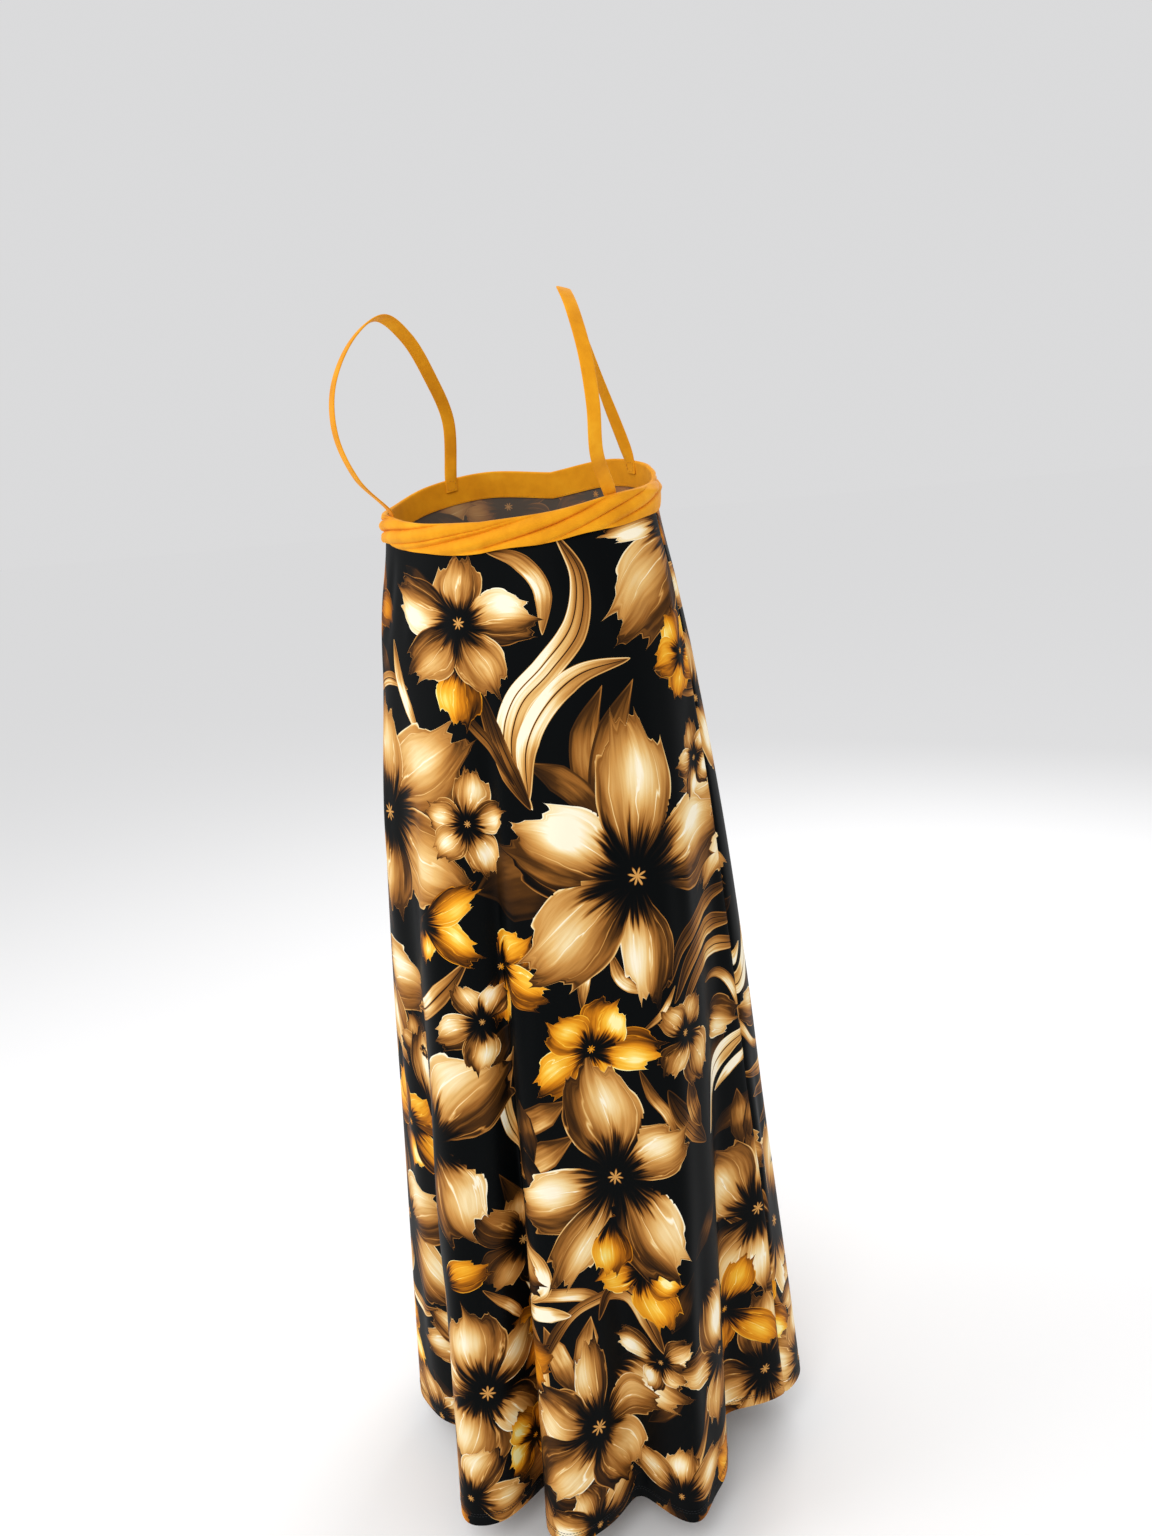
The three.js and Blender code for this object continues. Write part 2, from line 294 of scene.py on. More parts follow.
band = {
    "wall": 1.0,
    "inner": -1.9,        # middle of the inner layer, from the cloth's outer face
    "outer": 1.0,
    "puff": 4.2,          # the outer layer stands this much prouder halfway down
    "columns": 320,
    "rows": 30,
    "foldSteps": 9,
    "seamGap": 0.06,      # degrees that the band stops short of the side seam
    "footWave": 2.2,      # the foot of the band runs this much up and down
    "waves": [(5, 40, 0.6), (11, 0, 0.4)],     # waves round the dress: how many, start in degrees, share
    "swell": {"start": 0.08, "span": 0.86, "power": 0.7},
    "seamRow": 2,         # the row of stitches lies on this row, clear of the side seams by so many columns
    "seamClear": 4,
}
bandCreases = [           # turn, slant in degrees per mm of height, rise in mm, spread in degrees
    (90, 2.7, -3.4, 3.6), (74, 2.4, 2.0, 9.0), (55, 2.6, -4.8, 4.4), (36, 2.2, 2.4, 9.5),
    (19, 2.4, -2.6, 2.6), (7, 2.0, -4.8, 4.4), (-10, 1.8, 3.0, 8.5), (-25, 2.0, -4.6, 3.4),
    (-42, 1.6, 2.2, 8.0), (-53, 1.9, -3.0, 2.4), (-69, 1.8, 1.8, 7.5), (-83, 2.1, -4.0, 3.4),
    (103, -2.2, 1.6, 7.0), (116, -2.4, -4.2, 3.8), (133, -2.2, 2.4, 8.5), (147, -2.6, -2.6, 2.6),
    (160, -2.1, -4.4, 4.0), (177, -2.0, 2.6, 8.5), (-168, -2.4, -4.6, 3.8), (-151, -2.2, 2.0, 9.0),
    (-137, -2.5, -2.8, 2.6), (-124, -2.2, -4.4, 4.0), (-106, -2.4, 2.2, 7.5),
]


def bandSection():
    # the folded strip's middle line from its inner foot over the fold: height below the top edge, offset
    height = dress["bandHeight"]
    fold = (band["outer"] - band["inner"]) / 2
    lower = np.linspace(height, fold, band["rows"])
    arc = np.radians(np.linspace(180, 0, band["foldSteps"]))[1:-1]
    centre = (band["outer"] + band["inner"]) / 2
    heights = np.concatenate([lower, fold - np.sin(arc) * fold, lower[::-1]])
    offsets = np.concatenate([np.full(band["rows"], band["inner"]), centre + np.cos(arc) * fold,
                              np.full(band["rows"], band["outer"])])
    outside = np.concatenate([np.zeros(band["rows"]), (1 + np.cos(arc)) / 2, np.ones(band["rows"])])
    return heights + band["wall"] / 2, offsets, outside


def addBand(name, middle):
    reach = 90 - band["seamGap"]
    turns = np.linspace(middle + reach, middle - reach, band["columns"] + 1)
    heights, offsets, outside = bandSection()
    heights = np.clip(heights, 0, dress["bandHeight"])
    turn = np.broadcast_to(turns[None, :], (len(heights), len(turns)))
    wave = sum(np.sin(np.radians(turn * count + start)) * share for count, start, share in band["waves"])
    low = (heights[:, None] / dress["bandHeight"]) ** 3
    heights = heights[:, None] + band["footWave"] * wave * outside[:, None] * low
    drop = bandTop(turn) + heights
    way = heights / dress["bandHeight"] * band["swell"]["span"] + band["swell"]["start"]
    swell = outside[:, None] * np.sin(np.pi * np.clip(way, 0, 1)) ** band["swell"]["power"]
    crease = np.zeros_like(turn)
    for centre, slant, rise, spread in bandCreases:
        side = turnBetween(centre + slant * (heights - dress["bandHeight"] / 2), turn) / spread
        crease = crease + rise * np.exp(-side * side)
    offset = offsets[:, None] + swell * (band["puff"] + crease)
    normal = clothNormal(turn, drop, True)
    normal[..., 2] = 0
    normal /= np.linalg.norm(normal, axis=-1, keepdims=True)
    line = clothPoint(turn, drop, True) + normal * offset[..., None]
    along = np.gradient(line, axis=1)
    over = np.gradient(line, axis=0)
    side = np.cross(over, along)
    side /= np.linalg.norm(side, axis=-1, keepdims=True)
    outer = line + side * band["wall"] / 2
    inner = line - side * band["wall"] / 2
    points, front, back, edges = wallPoints(outer, inner)
    seam = (band["seamRow"], slice(band["seamClear"], -band["seamClear"]))
    footRow = (outer[seam], side[seam])
    return addMesh(name, points, np.concatenate([front, back, *edges])), footRow


strap = {
    "width": 15,
    "wall": 2.4,
    "behind": 56,        # turn where its back end is sewn to the band
    "before": 132,
    "core": (66, 50, 80),
    "tuck": 15,          # each end reaches this far down inside the band
    "tuckIn": 3.9,
    "cloth": 0.6,
    "route": [           # out, back, drop
        (138, 120, 164), (145, 139, 118), (141, 138, 70), (124, 114, 22), (106, 80, 0),
        (99, 34, 16), (98, -14, 56), (101, -58, 106),
    ],
    "steps": 150,
    "sides": 20,
    "roundness": (0.55, 0.8),     # how flat the tube is pressed, across and outward
    "endTurn": 30,                # within this far of its ends the strap turns to lie along the band
    "endPower": 1.2,
}


def catmull(points, steps):
    # even points and tangents on a centripetal curve through the points
    fineSteps = 80
    points = np.asarray(points, float)
    ends = [2 * points[0] - points[1], *points, 2 * points[-1] - points[-2]]
    fine = []
    for index in range(1, len(ends) - 2):
        p0, p1, p2, p3 = ends[index - 1:index + 3]
        d0, d1, d2 = (max(np.linalg.norm(b - a), 1e-4) ** 0.5 for a, b in ((p0, p1), (p1, p2), (p2, p3)))
        m1 = ((p1 - p0) / d0 - (p2 - p0) / (d0 + d1) + (p2 - p1) / d1) * d1
        m2 = ((p2 - p1) / d1 - (p3 - p1) / (d1 + d2) + (p3 - p2) / d2) * d1
        t = np.linspace(0, 1, fineSteps, endpoint=False)[:, None]
        fine.append(p1 * (2 * t**3 - 3 * t**2 + 1) + m1 * (t**3 - 2 * t**2 + t) + p2 * (3 * t**2 - 2 * t**3)
                    + m2 * (t**3 - t**2))
    fine = np.concatenate([*fine, points[-1:]])
    length = np.concatenate([[0], np.cumsum(np.linalg.norm(np.diff(fine, axis=0), axis=1))])
    even = np.linspace(0, length[-1], steps + 1)
    line = np.stack([np.interp(even, length, fine[:, axis]) for axis in range(3)], -1)
    tangent = np.gradient(line, axis=0)
    return line, tangent / np.linalg.norm(tangent, axis=-1, keepdims=True), length[-1]


def strapTuck(turn, below):
    # middle of a strap's end on the inside of the band, this far below its top edge
    turn = np.array(turn, float)
    drop = bandTop(turn) + below
    normal = clothNormal(turn, drop)
    normal[2] = 0
    normal /= np.linalg.norm(normal)
    return clothPoint(turn, drop, True) - normal * strap["tuckIn"]


def bandEdge(turn):
    edge = [clothPoint(angle, bandTop(angle)) for angle in (np.array(turn - 0.5), np.array(turn + 0.5))]
    return (edge[1] - edge[0]) / np.linalg.norm(edge[1] - edge[0])


def strapBox(line, across, outward, end):
    # four rows of stitches round the square that holds one end, on the side towards the wearer
    away = np.linalg.norm(line - line[end], axis=1)
    near = np.argsort(away)
    half = stitch["boxSide"] / 2
    low = strap["tuck"] / 2 - half
    high = low + 2 * half
    shape = []
    for out, way in ((-half, low), (half, low), (half, high), (-half, high), (-half, low)):
        place = [np.interp(way, away[near], values[near, axis]) for values in (line, across, outward)
                 for axis in range(3)]
        middle, sideways, proud = np.array(place).reshape(3, 3)
        shape.append((middle + sideways * out - proud * strap["wall"] / 2, -proud))
    return [(np.array([first[0], second[0]]), np.array([first[1], second[1]]))
            for first, second in zip(shape, shape[1:])]


def addStrap(name, side):
    shift = np.array([0, -dress["shoulderBack"], 0])
    core = np.array([side * strap["core"][0], strap["core"][1], -strap["core"][2]]) + shift
    behindEdge = bandEdge(side * strap["behind"])
    beforeEdge = bandEdge(side * strap["before"])
    route = [strapTuck(side * strap["behind"], strap["tuck"]), strapTuck(side * strap["behind"], 0)]
    for out, back, drop in strap["route"]:
        route.append(np.array([side * out, back, -drop + (strap["wall"] / 2 if drop == 0 else 0)]) + shift)
    route += [strapTuck(side * strap["before"], 0), strapTuck(side * strap["before"], strap["tuck"])]
    line, along, length = catmull(route, strap["steps"])
    across = np.cross(line - core, along)
    across /= np.linalg.norm(across, axis=-1, keepdims=True)
    for end, edge in ((0, behindEdge), (-1, beforeEdge)):
        edge = edge * np.sign(across[end] @ edge)
        away = np.linalg.norm(line - line[end], axis=1)[:, None]
        reach = np.clip(1 - away / strap["endTurn"], 0, 1) ** strap["endPower"]
        across = across * (1 - reach) + edge * reach
        across /= np.linalg.norm(across, axis=-1, keepdims=True)
    outward = np.cross(along, across)
    outward /= np.linalg.norm(outward, axis=-1, keepdims=True)
    boxes = [row for end in (0, -1) for row in strapBox(line, across, outward, end)]
    ring = np.radians((np.arange(strap["sides"]) + 0.5) * 360 / strap["sides"])
    flat, proud = strap["roundness"]
    rings = []
    for inset in (0, strap["cloth"]):
        # a pressed tube of cloth: flat, with soft round sides
        wide = np.sign(np.cos(ring)) * np.abs(np.cos(ring)) ** flat * (strap["width"] / 2 - inset)
        high = np.sign(np.sin(ring)) * np.abs(np.sin(ring)) ** proud * (strap["wall"] / 2 - inset)
        rings.append(line[:, None] + across[:, None] * wide[None, :, None]
                     + outward[:, None] * high[None, :, None])
    count = len(ring)
    face = gridFaces(len(line), count, True)[:, ::-1]
    far = len(line) * count
    here = np.arange(count)
    beside = (here + 1) % count
    last = far - count
    ends = [np.stack([beside, here, far + here, far + beside], -1),
            np.stack([last + here, last + beside, far + last + beside, far + last + here], -1)]
    piece = addMesh(name, np.concatenate(rings), np.concatenate([face, face[:, ::-1] + far, *ends]))
    return piece, length, boxes


# print: flowers, strands and leaves laid out on the flat cloth of the back panel, in mm
# centre across from the middle of the panel, drop, dye (0 tan, 1 mustard), heart radius,
# petals: direction (0 towards the wearer's right, 90 down the cloth), length, width, bend and, where it
# matters, how brightly it is lit from 0 to 1
flowers = [
    (-195, 550, 0, 24, [(-34, 190, 95, 0.1), (28, 160, 100, -0.1), (-90, 140, 80, 0.1), (100, 130, 80, 0.1)]),
    (266, 244, 0, 0, [(136, 168, 88, 0.25, 0.15)]),
    (238, 236, 0, 0, [(173, 112, 26, 0.1)]),
    (240, 385, 1, 9, [(-120, 52, 40, 0), (-45, 50, 40, 0), (30, 52, 40, 0), (100, 52, 40, 0),
                      (172, 50, 38, 0)]),
    (-36, 366, 1, 0, [(94, 74, 50, 0.1, 0.3)]),
    (-34, 327, 0, 17, [(-88, 72, 54, 0, 0.1), (-159, 103, 52, 0.1, 0.9), (-3, 94, 52, 0.1, 0.9),
                       (62, 90, 50, -0.1, 0.2), (140, 94, 52, 0.1, 0.1)]),
    (-22, 712, 1, 10, [(-40, 68, 48, 0), (21, 76, 40, 0), (96, 70, 40, 0)]),
    (155, 615, 0, 24, [(-13, 165, 90, 0.1, 0.75), (-157, 160, 88, 0.12, 1), (142, 165, 85, 0.1, 0.5),
                       (86, 152, 52, 0.1, 0.6), (-90, 180, 78, -0.1, 0.7)]),
    (-40, 545, 0, 10, [(-80, 62, 38, 0), (-165, 58, 36, 0), (68, 64, 36, 0.1), (140, 58, 36, 0),
                       (-15, 50, 32, 0)]),
    (262, 508, 0, 8, [(-105, 46, 28, 0), (-35, 46, 28, 0), (40, 46, 28, 0), (110, 46, 28, 0),
                      (178, 46, 28, 0)]),
    (-160, 922, 0, 0, [(-43, 164, 88, 0.1, 0.45), (72, 126, 94, -0.1, 0.3)]),
    (-54, 772, 0, 9, [(160, 68, 36, 0), (-120, 52, 32, 0), (-50, 52, 32, 0), (102, 64, 38, 0)]),
    (-238, 938, 0, 0, [(-78, 126, 38, 0.1, 0.9)]),
    (206, 804, 0, 10, [(-130, 46, 32, 0), (-60, 46, 32, 0), (60, 72, 50, 0), (122, 52, 36, 0)]),
    (262, 815, 0, 0, [(15, 82, 44, 0.1)]),
    (92, 804, 1, 11, [(-60, 62, 50, 0), (8, 84, 44, 0), (149, 76, 44, 0), (-140, 58, 44, 0),
                      (92, 62, 44, 0)]),
    (143, 1085, 1, 0, [(-122, 84, 40, 0, 0.4), (178, 58, 48, 0, 0.2), (66, 78, 48, 0, 0.5), (20, 52, 40, 0)]),
    (115, 965, 0, 22, [(-100, 155, 76, 0.05, 0.5), (-34, 100, 62, 0.1, 0.7), (170, 128, 66, 0.1, 0.9),
                       (123, 142, 52, 0.1, 0.5), (60, 150, 76, 0, 0.2)]),
    (110, 1015, 1, 0, [(95, 75, 44, 0)]),
    (386, 1100, 0, 20, [(-96, 108, 50, 0), (-134, 124, 74, 0.1, 0.5), (131, 118, 70, 0.1, 0.2),
                        (78, 118, 60, 0, 0.8), (0, 90, 60, 0)]),
    (-175, 1100, 1, 0, [(-25, 74, 34, 0.1)]),
    (352, 1226, 1, 10, [(-70, 72, 44, 0.1), (36, 116, 34, 0.1), (92, 66, 38, 0), (160, 60, 40, 0)]),
    (95, 1200, 0, 0, [(30, 118, 62, -0.3)]),
    (167, 1200, 0, 8, [(-151, 68, 28, 0), (-35, 46, 30, 0), (35, 42, 30, 0), (110, 44, 28, 0)]),
    (272, 1224, 0, 12, [(-170, 86, 44, 0.1), (-100, 80, 44, 0), (20, 84, 46, 0), (95, 86, 46, 0)]),
    (-140, 1233, 0, 22, [(-95, 108, 76, 0), (-45, 100, 46, 0.1), (-170, 104, 62, 0.1), (117, 112, 76, 0),
                         (45, 90, 54, 0)]),
    (-88, 1325, 1, 9, [(-120, 52, 42, 0), (-40, 52, 42, 0), (35, 52, 40, 0), (150, 52, 42, 0)]),
    (70, 1395, 0, 10, [(-110, 66, 40, 0), (-30, 74, 44, 0.1), (-165, 70, 44, 0), (60, 50, 36, 0)]),
    (-190, 1370, 0, 10, [(-60, 80, 44, 0.1), (-130, 76, 46, 0), (10, 76, 44, 0)]),
    (200, 1372, 0, 10, [(-150, 80, 40, 0.1), (-90, 66, 40, 0), (-25, 80, 46, 0)]),
    (225, 1120, 0, 0, [(60, 110, 56, 0.2)]),
    (77, 1270, 0, 22, [(-95, 122, 36, 0), (-151, 98, 62, 0.1), (140, 108, 72, 0), (60, 108, 70, 0),
                       (-15, 92, 52, 0.1)]),
    (-122, 662, 1, 0, [(20, 86, 42, 0.1, 0.6), (-27, 98, 32, 0.1, 0.4), (88, 48, 34, 0)]),
]
# whole flowers that lie lowest: inside the deep fold, round the sides and low on the front
# centre across, drop, dye, heart radius, petal length, petal width, direction of the first petal
wholeFlowers = [
    (-330, 760, 0, 22, 150, 80, -80), (-290, 960, 1, 11, 74, 47, -100), (-385, 1120, 0, 22, 136, 76, -95),
    (-300, 1280, 0, 12, 78, 46, -120), (-470, 1290, 1, 11, 74, 48, -100), (-205, 300, 1, 9, 54, 40, -60),
    (-215, 850, 0, 9, 52, 31, -100), (365, 528, 0, 22, 150, 78, -100), (434, 872, 1, 11, 72, 47, -110),
    (425, 1330, 0, 16, 108, 62, -110), (-56, 1058, 0, 14, 72, 48, -70), (-22, 1325, 0, 20, 116, 70, -60),
    (-36, 1180, 1, 10, 62, 44, -95), (-530, 1385, 0, 20, 112, 66, -80), (505, 1190, 0, 20, 106, 64, -50),
    (330, 1395, 1, 10, 70, 44, -85), (-255, 1405, 1, 10, 68, 42, -70), (-500, 1080, 0, 18, 96, 58, -40),
    (470, 1010, 0, 18, 100, 60, -60), (-400, 1400, 0, 12, 72, 46, -30), (-340, 330, 0, 20, 112, 66, -65),
    (-430, 480, 1, 11, 72, 46, -20), (-290, 460, 0, 11, 66, 42, -85), (-450, 640, 0, 20, 116, 68, -50),
    (385, 300, 0, 20, 112, 68, -30), (455, 425, 1, 11, 72, 46, -75), (340, 410, 0, 10, 60, 38, -10),
    (455, 690, 0, 20, 112, 68, -85),
    (-440, 860, 0, 12, 76, 46, -75), (60, 1460, 1, 10, 66, 44, -70), (-60, 1455, 0, 12, 74, 46, -35),
    (-175, 1462, 0, 14, 84, 52, -55), (185, 1465, 0, 14, 84, 52, -80), (250, 1440, 1, 9, 52, 36, -40),
]
# strands of tendril: places along the middle line, width, lightness, number of lines
tendrils = [
    ([(80, 240), (104, 288), (98, 340), (65, 380), (32, 412), (18, 450), (22, 490), (42, 530)], 31, 1.0, 3),
    ([(158, 380), (100, 390), (60, 422), (38, 465), (38, 522)], 26, 1.12, 2),
    ([(2, 252), (40, 266), (64, 298), (62, 345)], 19, 0.9, 1),
    ([(-60, 700), (-95, 735), (-140, 768), (-205, 790)], 25, 0.85, 2),
    ([(84, 756), (88, 728), (98, 692)], 13, 0.9, 1),
    ([(120, 695), (130, 728), (158, 748)], 14, 0.9, 1),
    ([(150, 792), (172, 775), (192, 745)], 7, 0.85, 1),
    ([(146, 835), (160, 868), (178, 892), (190, 925)], 13, 0.66, 1),
    ([(182, 745), (205, 705), (250, 683), (335, 668)], 22, 0.5, 3),
    ([(190, 765), (225, 722), (275, 708), (345, 715)], 24, 0.6, 3),
    ([(200, 780), (240, 742), (300, 738), (360, 752)], 20, 0.7, 2),
    ([(262, 768), (310, 775), (338, 812), (345, 850)], 12, 0.8, 1),
    ([(372, 862), (330, 868), (290, 900), (262, 950)], 26, 1.3, 2),
    ([(385, 885), (340, 893), (305, 920)], 14, 1.3, 1),
    ([(-15, 396), (-2, 440), (16, 485), (40, 530)], 22, 0.42, 4),
    ([(-60, 388), (-30, 430), (2, 470), (24, 505)], 12, 0.36, 2),
    ([(178, 862), (192, 890), (214, 918), (245, 950)], 26, 0.42, 4),
    ([(212, 858), (216, 890), (232, 925)], 22, 0.5, 4),
    ([(330, 385), (270, 408), (205, 404), (190, 398)], 20, 0.6, 3),
    ([(210, 420), (270, 432), (340, 420)], 16, 0.5, 2),
    ([(-15, 1105), (28, 1088), (70, 1098), (96, 1118)], 16, 0.8, 1),
    ([(-120, 1102), (-92, 1130), (-72, 1162)], 14, 0.8, 1),
    ([(5, 1205), (18, 1160), (48, 1118), (98, 1110), (150, 1145)], 14, 0.5, 2),
    ([(-30, 1120), (0, 1115), (30, 1112), (50, 1117)], 19, 1.3, 1),
    ([(-14, 1028), (14, 1048), (20, 1078), (-6, 1106)], 20, 1.2, 1),
    ([(84, 1136), (100, 1108), (128, 1118), (150, 1150), (172, 1188)], 24, 0.62, 2),
    ([(205, 1330), (236, 1296), (242, 1250)], 13, 0.6, 1),
    ([(150, 1355), (190, 1350), (222, 1320), (250, 1270)], 14, 0.55, 2),
    ([(-250, 1030), (-215, 1070), (-195, 1130), (-215, 1180)], 18, 0.8, 2),
    ([(-420, 900), (-370, 905), (-330, 880), (-310, 850)], 20, 0.7, 2),
    ([(-470, 1180), (-430, 1230), (-380, 1240), (-330, 1225)], 20, 0.8, 2),
    ([(-240, 420), (-200, 400), (-160, 390), (-120, 400)], 16, 0.7, 2),
    ([(300, 600), (345, 640), (400, 640)], 18, 0.7, 2),
    ([(330, 1090), (380, 1130), (430, 1190), (455, 1250)], 18, 0.7, 2),
    ([(-95, 1060), (-60, 1100), (-50, 1150), (-75, 1200)], 18, 0.8, 2),
    ([(-30, 1110), (0, 1150), (8, 1210), (-10, 1260)], 20, 0.9, 2),
    ([(20, 1290), (-5, 1250), (-50, 1235), (-95, 1250)], 14, 0.7, 1),
    ([(-560, 1230), (-520, 1260), (-470, 1230), (-440, 1190)], 22, 0.8, 3),
    ([(-340, 1330), (-370, 1370), (-420, 1350), (-480, 1370)], 16, 0.7, 2),
    ([(400, 1240), (440, 1270), (500, 1290), (540, 1270)], 18, 0.8, 2),
    ([(-390, 400), (-350, 440), (-345, 500), (-380, 560)], 20, 0.85, 2),
    ([(400, 370), (420, 470), (390, 560)], 16, 0.7, 1),
    ([(460, 540), (430, 580), (440, 630)], 16, 0.8, 1),
    ([(240, 1390), (270, 1350), (320, 1330), (370, 1345)], 16, 0.7, 2),
    ([(-120, 1400), (-90, 1440), (-30, 1400)], 15, 0.8, 1),
    ([(-5, 800), (-40, 850), (-42, 910), (-15, 960)], 18, 0.85, 2),
    ([(-146, 345), (-136, 395), (-102, 452)], 17, 1.15, 1),
]
# dark pointed leaves: foot, tip, width, lightness
leaves = [
    ([(126, 575), (104, 500), (104, 450), (124, 404)], 34, 0.5),
    ([(124, 580), (122, 500), (136, 448), (160, 402)], 36, 0.5),
    ([(122, 575), (104, 530), (74, 500), (34, 478)], 30, 0.4), ([(50, 1218), (16, 1128)], 28, 0.72),
    ([(54, 1216), (74, 1126)], 28, 0.72), ([(112, 612), (40, 606), (-40, 622)], 84, 0.3),
    ([(-60, 300), (-110, 262)], 20, 0.2), ([(-20, 902), (62, 858)], 30, 0.56),
    ([(-40, 958), (70, 900)], 34, 0.6), ([(-10, 905), (40, 985)], 26, 0.2),
    ([(250, 640), (330, 590)], 26, 0.24), ([(-60, 640), (-150, 690)], 34, 0.26),
    ([(-30, 1060), (-20, 1140)], 26, 0.3), ([(30, 1060), (-40, 1010)], 24, 0.34),
    ([(-90, 1160), (-50, 1230)], 24, 0.28), ([(215, 1080), (265, 1030)], 24, 0.3),
    ([(210, 1090), (180, 1160)], 24, 0.26), ([(-230, 700), (-280, 640)], 30, 0.34),
    ([(-250, 1180), (-290, 1110)], 30, 0.34), ([(-350, 990), (-420, 1010)], 28, 0.3),
    ([(300, 980), (380, 940)], 26, 0.34), ([(400, 1130), (450, 1080)], 24, 0.3),
    ([(-90, 480), (-60, 440)], 18, 0.24), ([(300, 300), (330, 240)], 24, 0.3),
    ([(-160, 400), (-190, 350)], 22, 0.28), ([(330, 1290), (380, 1360)], 26, 0.34),
    ([(-390, 1330), (-360, 1400)], 26, 0.34), ([(10, 1330), (0, 1400)], 24, 0.3),
    ([(150, 1290), (200, 1240)], 20, 0.3), ([(-20, 1100), (-70, 960)], 30, 0.34),
    ([(-10, 1260), (60, 1300)], 24, 0.32), ([(-520, 1300), (-560, 1190)], 30, 0.32),
    ([(480, 1330), (540, 1400)], 26, 0.34), ([(500, 1120), (440, 1150)], 24, 0.3),
    ([(-440, 1330), (-420, 1250)], 24, 0.36), ([(-380, 280), (-440, 360)], 28, 0.34),
    ([(420, 300), (480, 360)], 28, 0.32), ([(-350, 560), (-300, 620)], 26, 0.34),
    ([(356, 1012), (342, 930)], 26, 0.5), ([(362, 1010), (374, 936)], 24, 0.5),
    ([(330, 340), (300, 400)], 22, 0.3), ([(400, 620), (360, 690)], 26, 0.34),
    ([(60, 1300), (110, 1380)], 24, 0.34), ([(-240, 1330), (-200, 1290)], 22, 0.32),
    ([(-470, 760), (-500, 850)], 28, 0.34), ([(-120, 1010), (-170, 960)], 24, 0.34),
    ([(20, 930), (0, 860)], 26, 0.32), ([(-20, 780), (-60, 840)], 26, 0.3),
    ([(270, 900), (320, 850)], 26, 0.32),
]
outline = [(0, 0.1), (0.12, 0.25), (0.3, 0.6), (0.48, 0.9), (0.64, 1.0), (0.8, 0.9), (0.92, 0.55), (1, 0.0)]
glowRate = 7.3        # a petal's brightness is the part after the point of its seed times this
paintedShadeReach = 260        # whole flowers nearer the middle than this are darkened, partly as darker print and partly as painted shade; their seeds are above 1
# share of lightness those flowers keep under the darker print and painted shade
paintedShadeLight = 0.62
wholeFirst = 100      # whole flowers are numbered from here
petalLayers = 7
strandLayers = 7
petalGrowth = {"length": 1.05, "width": 1.2}
wholeUneven = {"turn": 9, "length": 0.1, "width": -0.07, "bend": 0.1}
strandEnds = (0.35, 0.3)     # share of a strand's length in which it widens, and in which it narrows
farAway = 9           # a place outside every motif
laying = {                # which faces of the panel hold a motif: mm, and shares of its length or half width
    "strandPad": 1.5,     # widths of spare cloth round a strand
    "strandSlack": 7,     # mm of spare cloth beside it
    "strandEdge": 0.25,
    "strandMargin": 0.2,
    "strandSpan": (-0.1, 1.1),
    "petalReach": 1.2,
    "petalPad": 6,
    "petalSlack": 9,
    "petalEdge": 0.2,
    "petalMargin": 0.1,
    "petalSpan": (-0.06, 1.16),
    "tipRoom": 0.9,       # torn tips reach past the outline
    "footEnd": 0.24,      # up to here petals may share a layer, because their feet are dark
    "heartReach": 1.7,
    "heartPad": 5,
    "certain": 0.1,       # a face this near a motif's edge shows it even where another was laid before
}
frontTurn = 1668      # the front's print is the back's, turned half round at half this drop


def seedOf(number):
    # a number from 0 to 1 that makes each motif a little different
    return (number * 0.6180339) % 1


def wholeFlower(number, row):
    # five petals round a heart, none quite alike
    across, drop, dye, heart, length, width, first = row
    count = 5
    petals = []
    for index in range(count):
        uneven = math.sin(number * 3.7 + index * 2.3)
        turn, longer, wider, bend = (uneven * wholeUneven[key] for key in ("turn", "length", "width", "bend"))
        petals.append((first + index * 360 / count + turn, length * (1 + longer), width * (1 + wider), bend))
    return across, drop, dye, heart, petals


def petalPlace(across, drop, petal):
    # place along a petal (0 foot, 1 tip) and across it (-1 to 1 where it is widest)
    footAcross, footDrop, direction, length, width, bend = petal[:6]
    angle = math.radians(direction)
    along = ((across - footAcross) * math.cos(angle) + (drop - footDrop) * math.sin(angle)) / length
    side = (-(across - footAcross) * math.sin(angle) + (drop - footDrop) * math.cos(angle)) / (width / 2)
    return along, side - bend * 2 * along * np.abs(along) + bend * along


def petalEdge(along, side):
    keys, widths = zip(*outline)
    return np.where(along > 0, np.interp(along, keys, widths), -1) - np.abs(side)


def strandPlace(across, drop, line, width):
    # place along a strand and across it, from its nearest point; its ends run on straight for a few widths
    pieces, runOn = 14, 4
    steps = np.linspace(0, len(line) - 1, (len(line) - 1) * pieces + 1)
    keys = np.arange(len(line))
    middle = np.stack([tableValue(np.stack([keys, [p[i] for p in line]], 1), 1, steps) for i in (0, 1)], -1)
    way = np.diff(middle, axis=0)
    length = np.concatenate([[0], np.cumsum(np.hypot(*way.T))])
    best = np.full(across.shape, np.inf)
    along = np.full(across.shape, -float(farAway))
    side = np.full(across.shape, float(farAway))
    for index, (step, start) in enumerate(zip(way, middle[:-1])):
        size = math.hypot(*step)
        gone = ((across - start[0]) * step[0] + (drop - start[1]) * step[1]) / size
        off = ((drop - start[1]) * step[0] - (across - start[0]) * step[1]) / size
        low = 0 if index else -runOn * width
        high = size if index + 2 < len(middle) else size + runOn * width
        kept = np.clip(gone, low, high)
        away = np.hypot(gone - kept, off)
        closer = away < best
        best = np.where(closer, away, best)
        along = np.where(closer, (length[index] + kept) / length[-1], along)
        side = np.where(closer, off, side)
    return along, side / (width / 2)


def strandTaper(along):
    # share of the full width: thin at both ends
    rising, falling = strandEnds
    return np.sqrt(np.clip(np.minimum(along / rising, (1 - along) / falling), 0, 1))


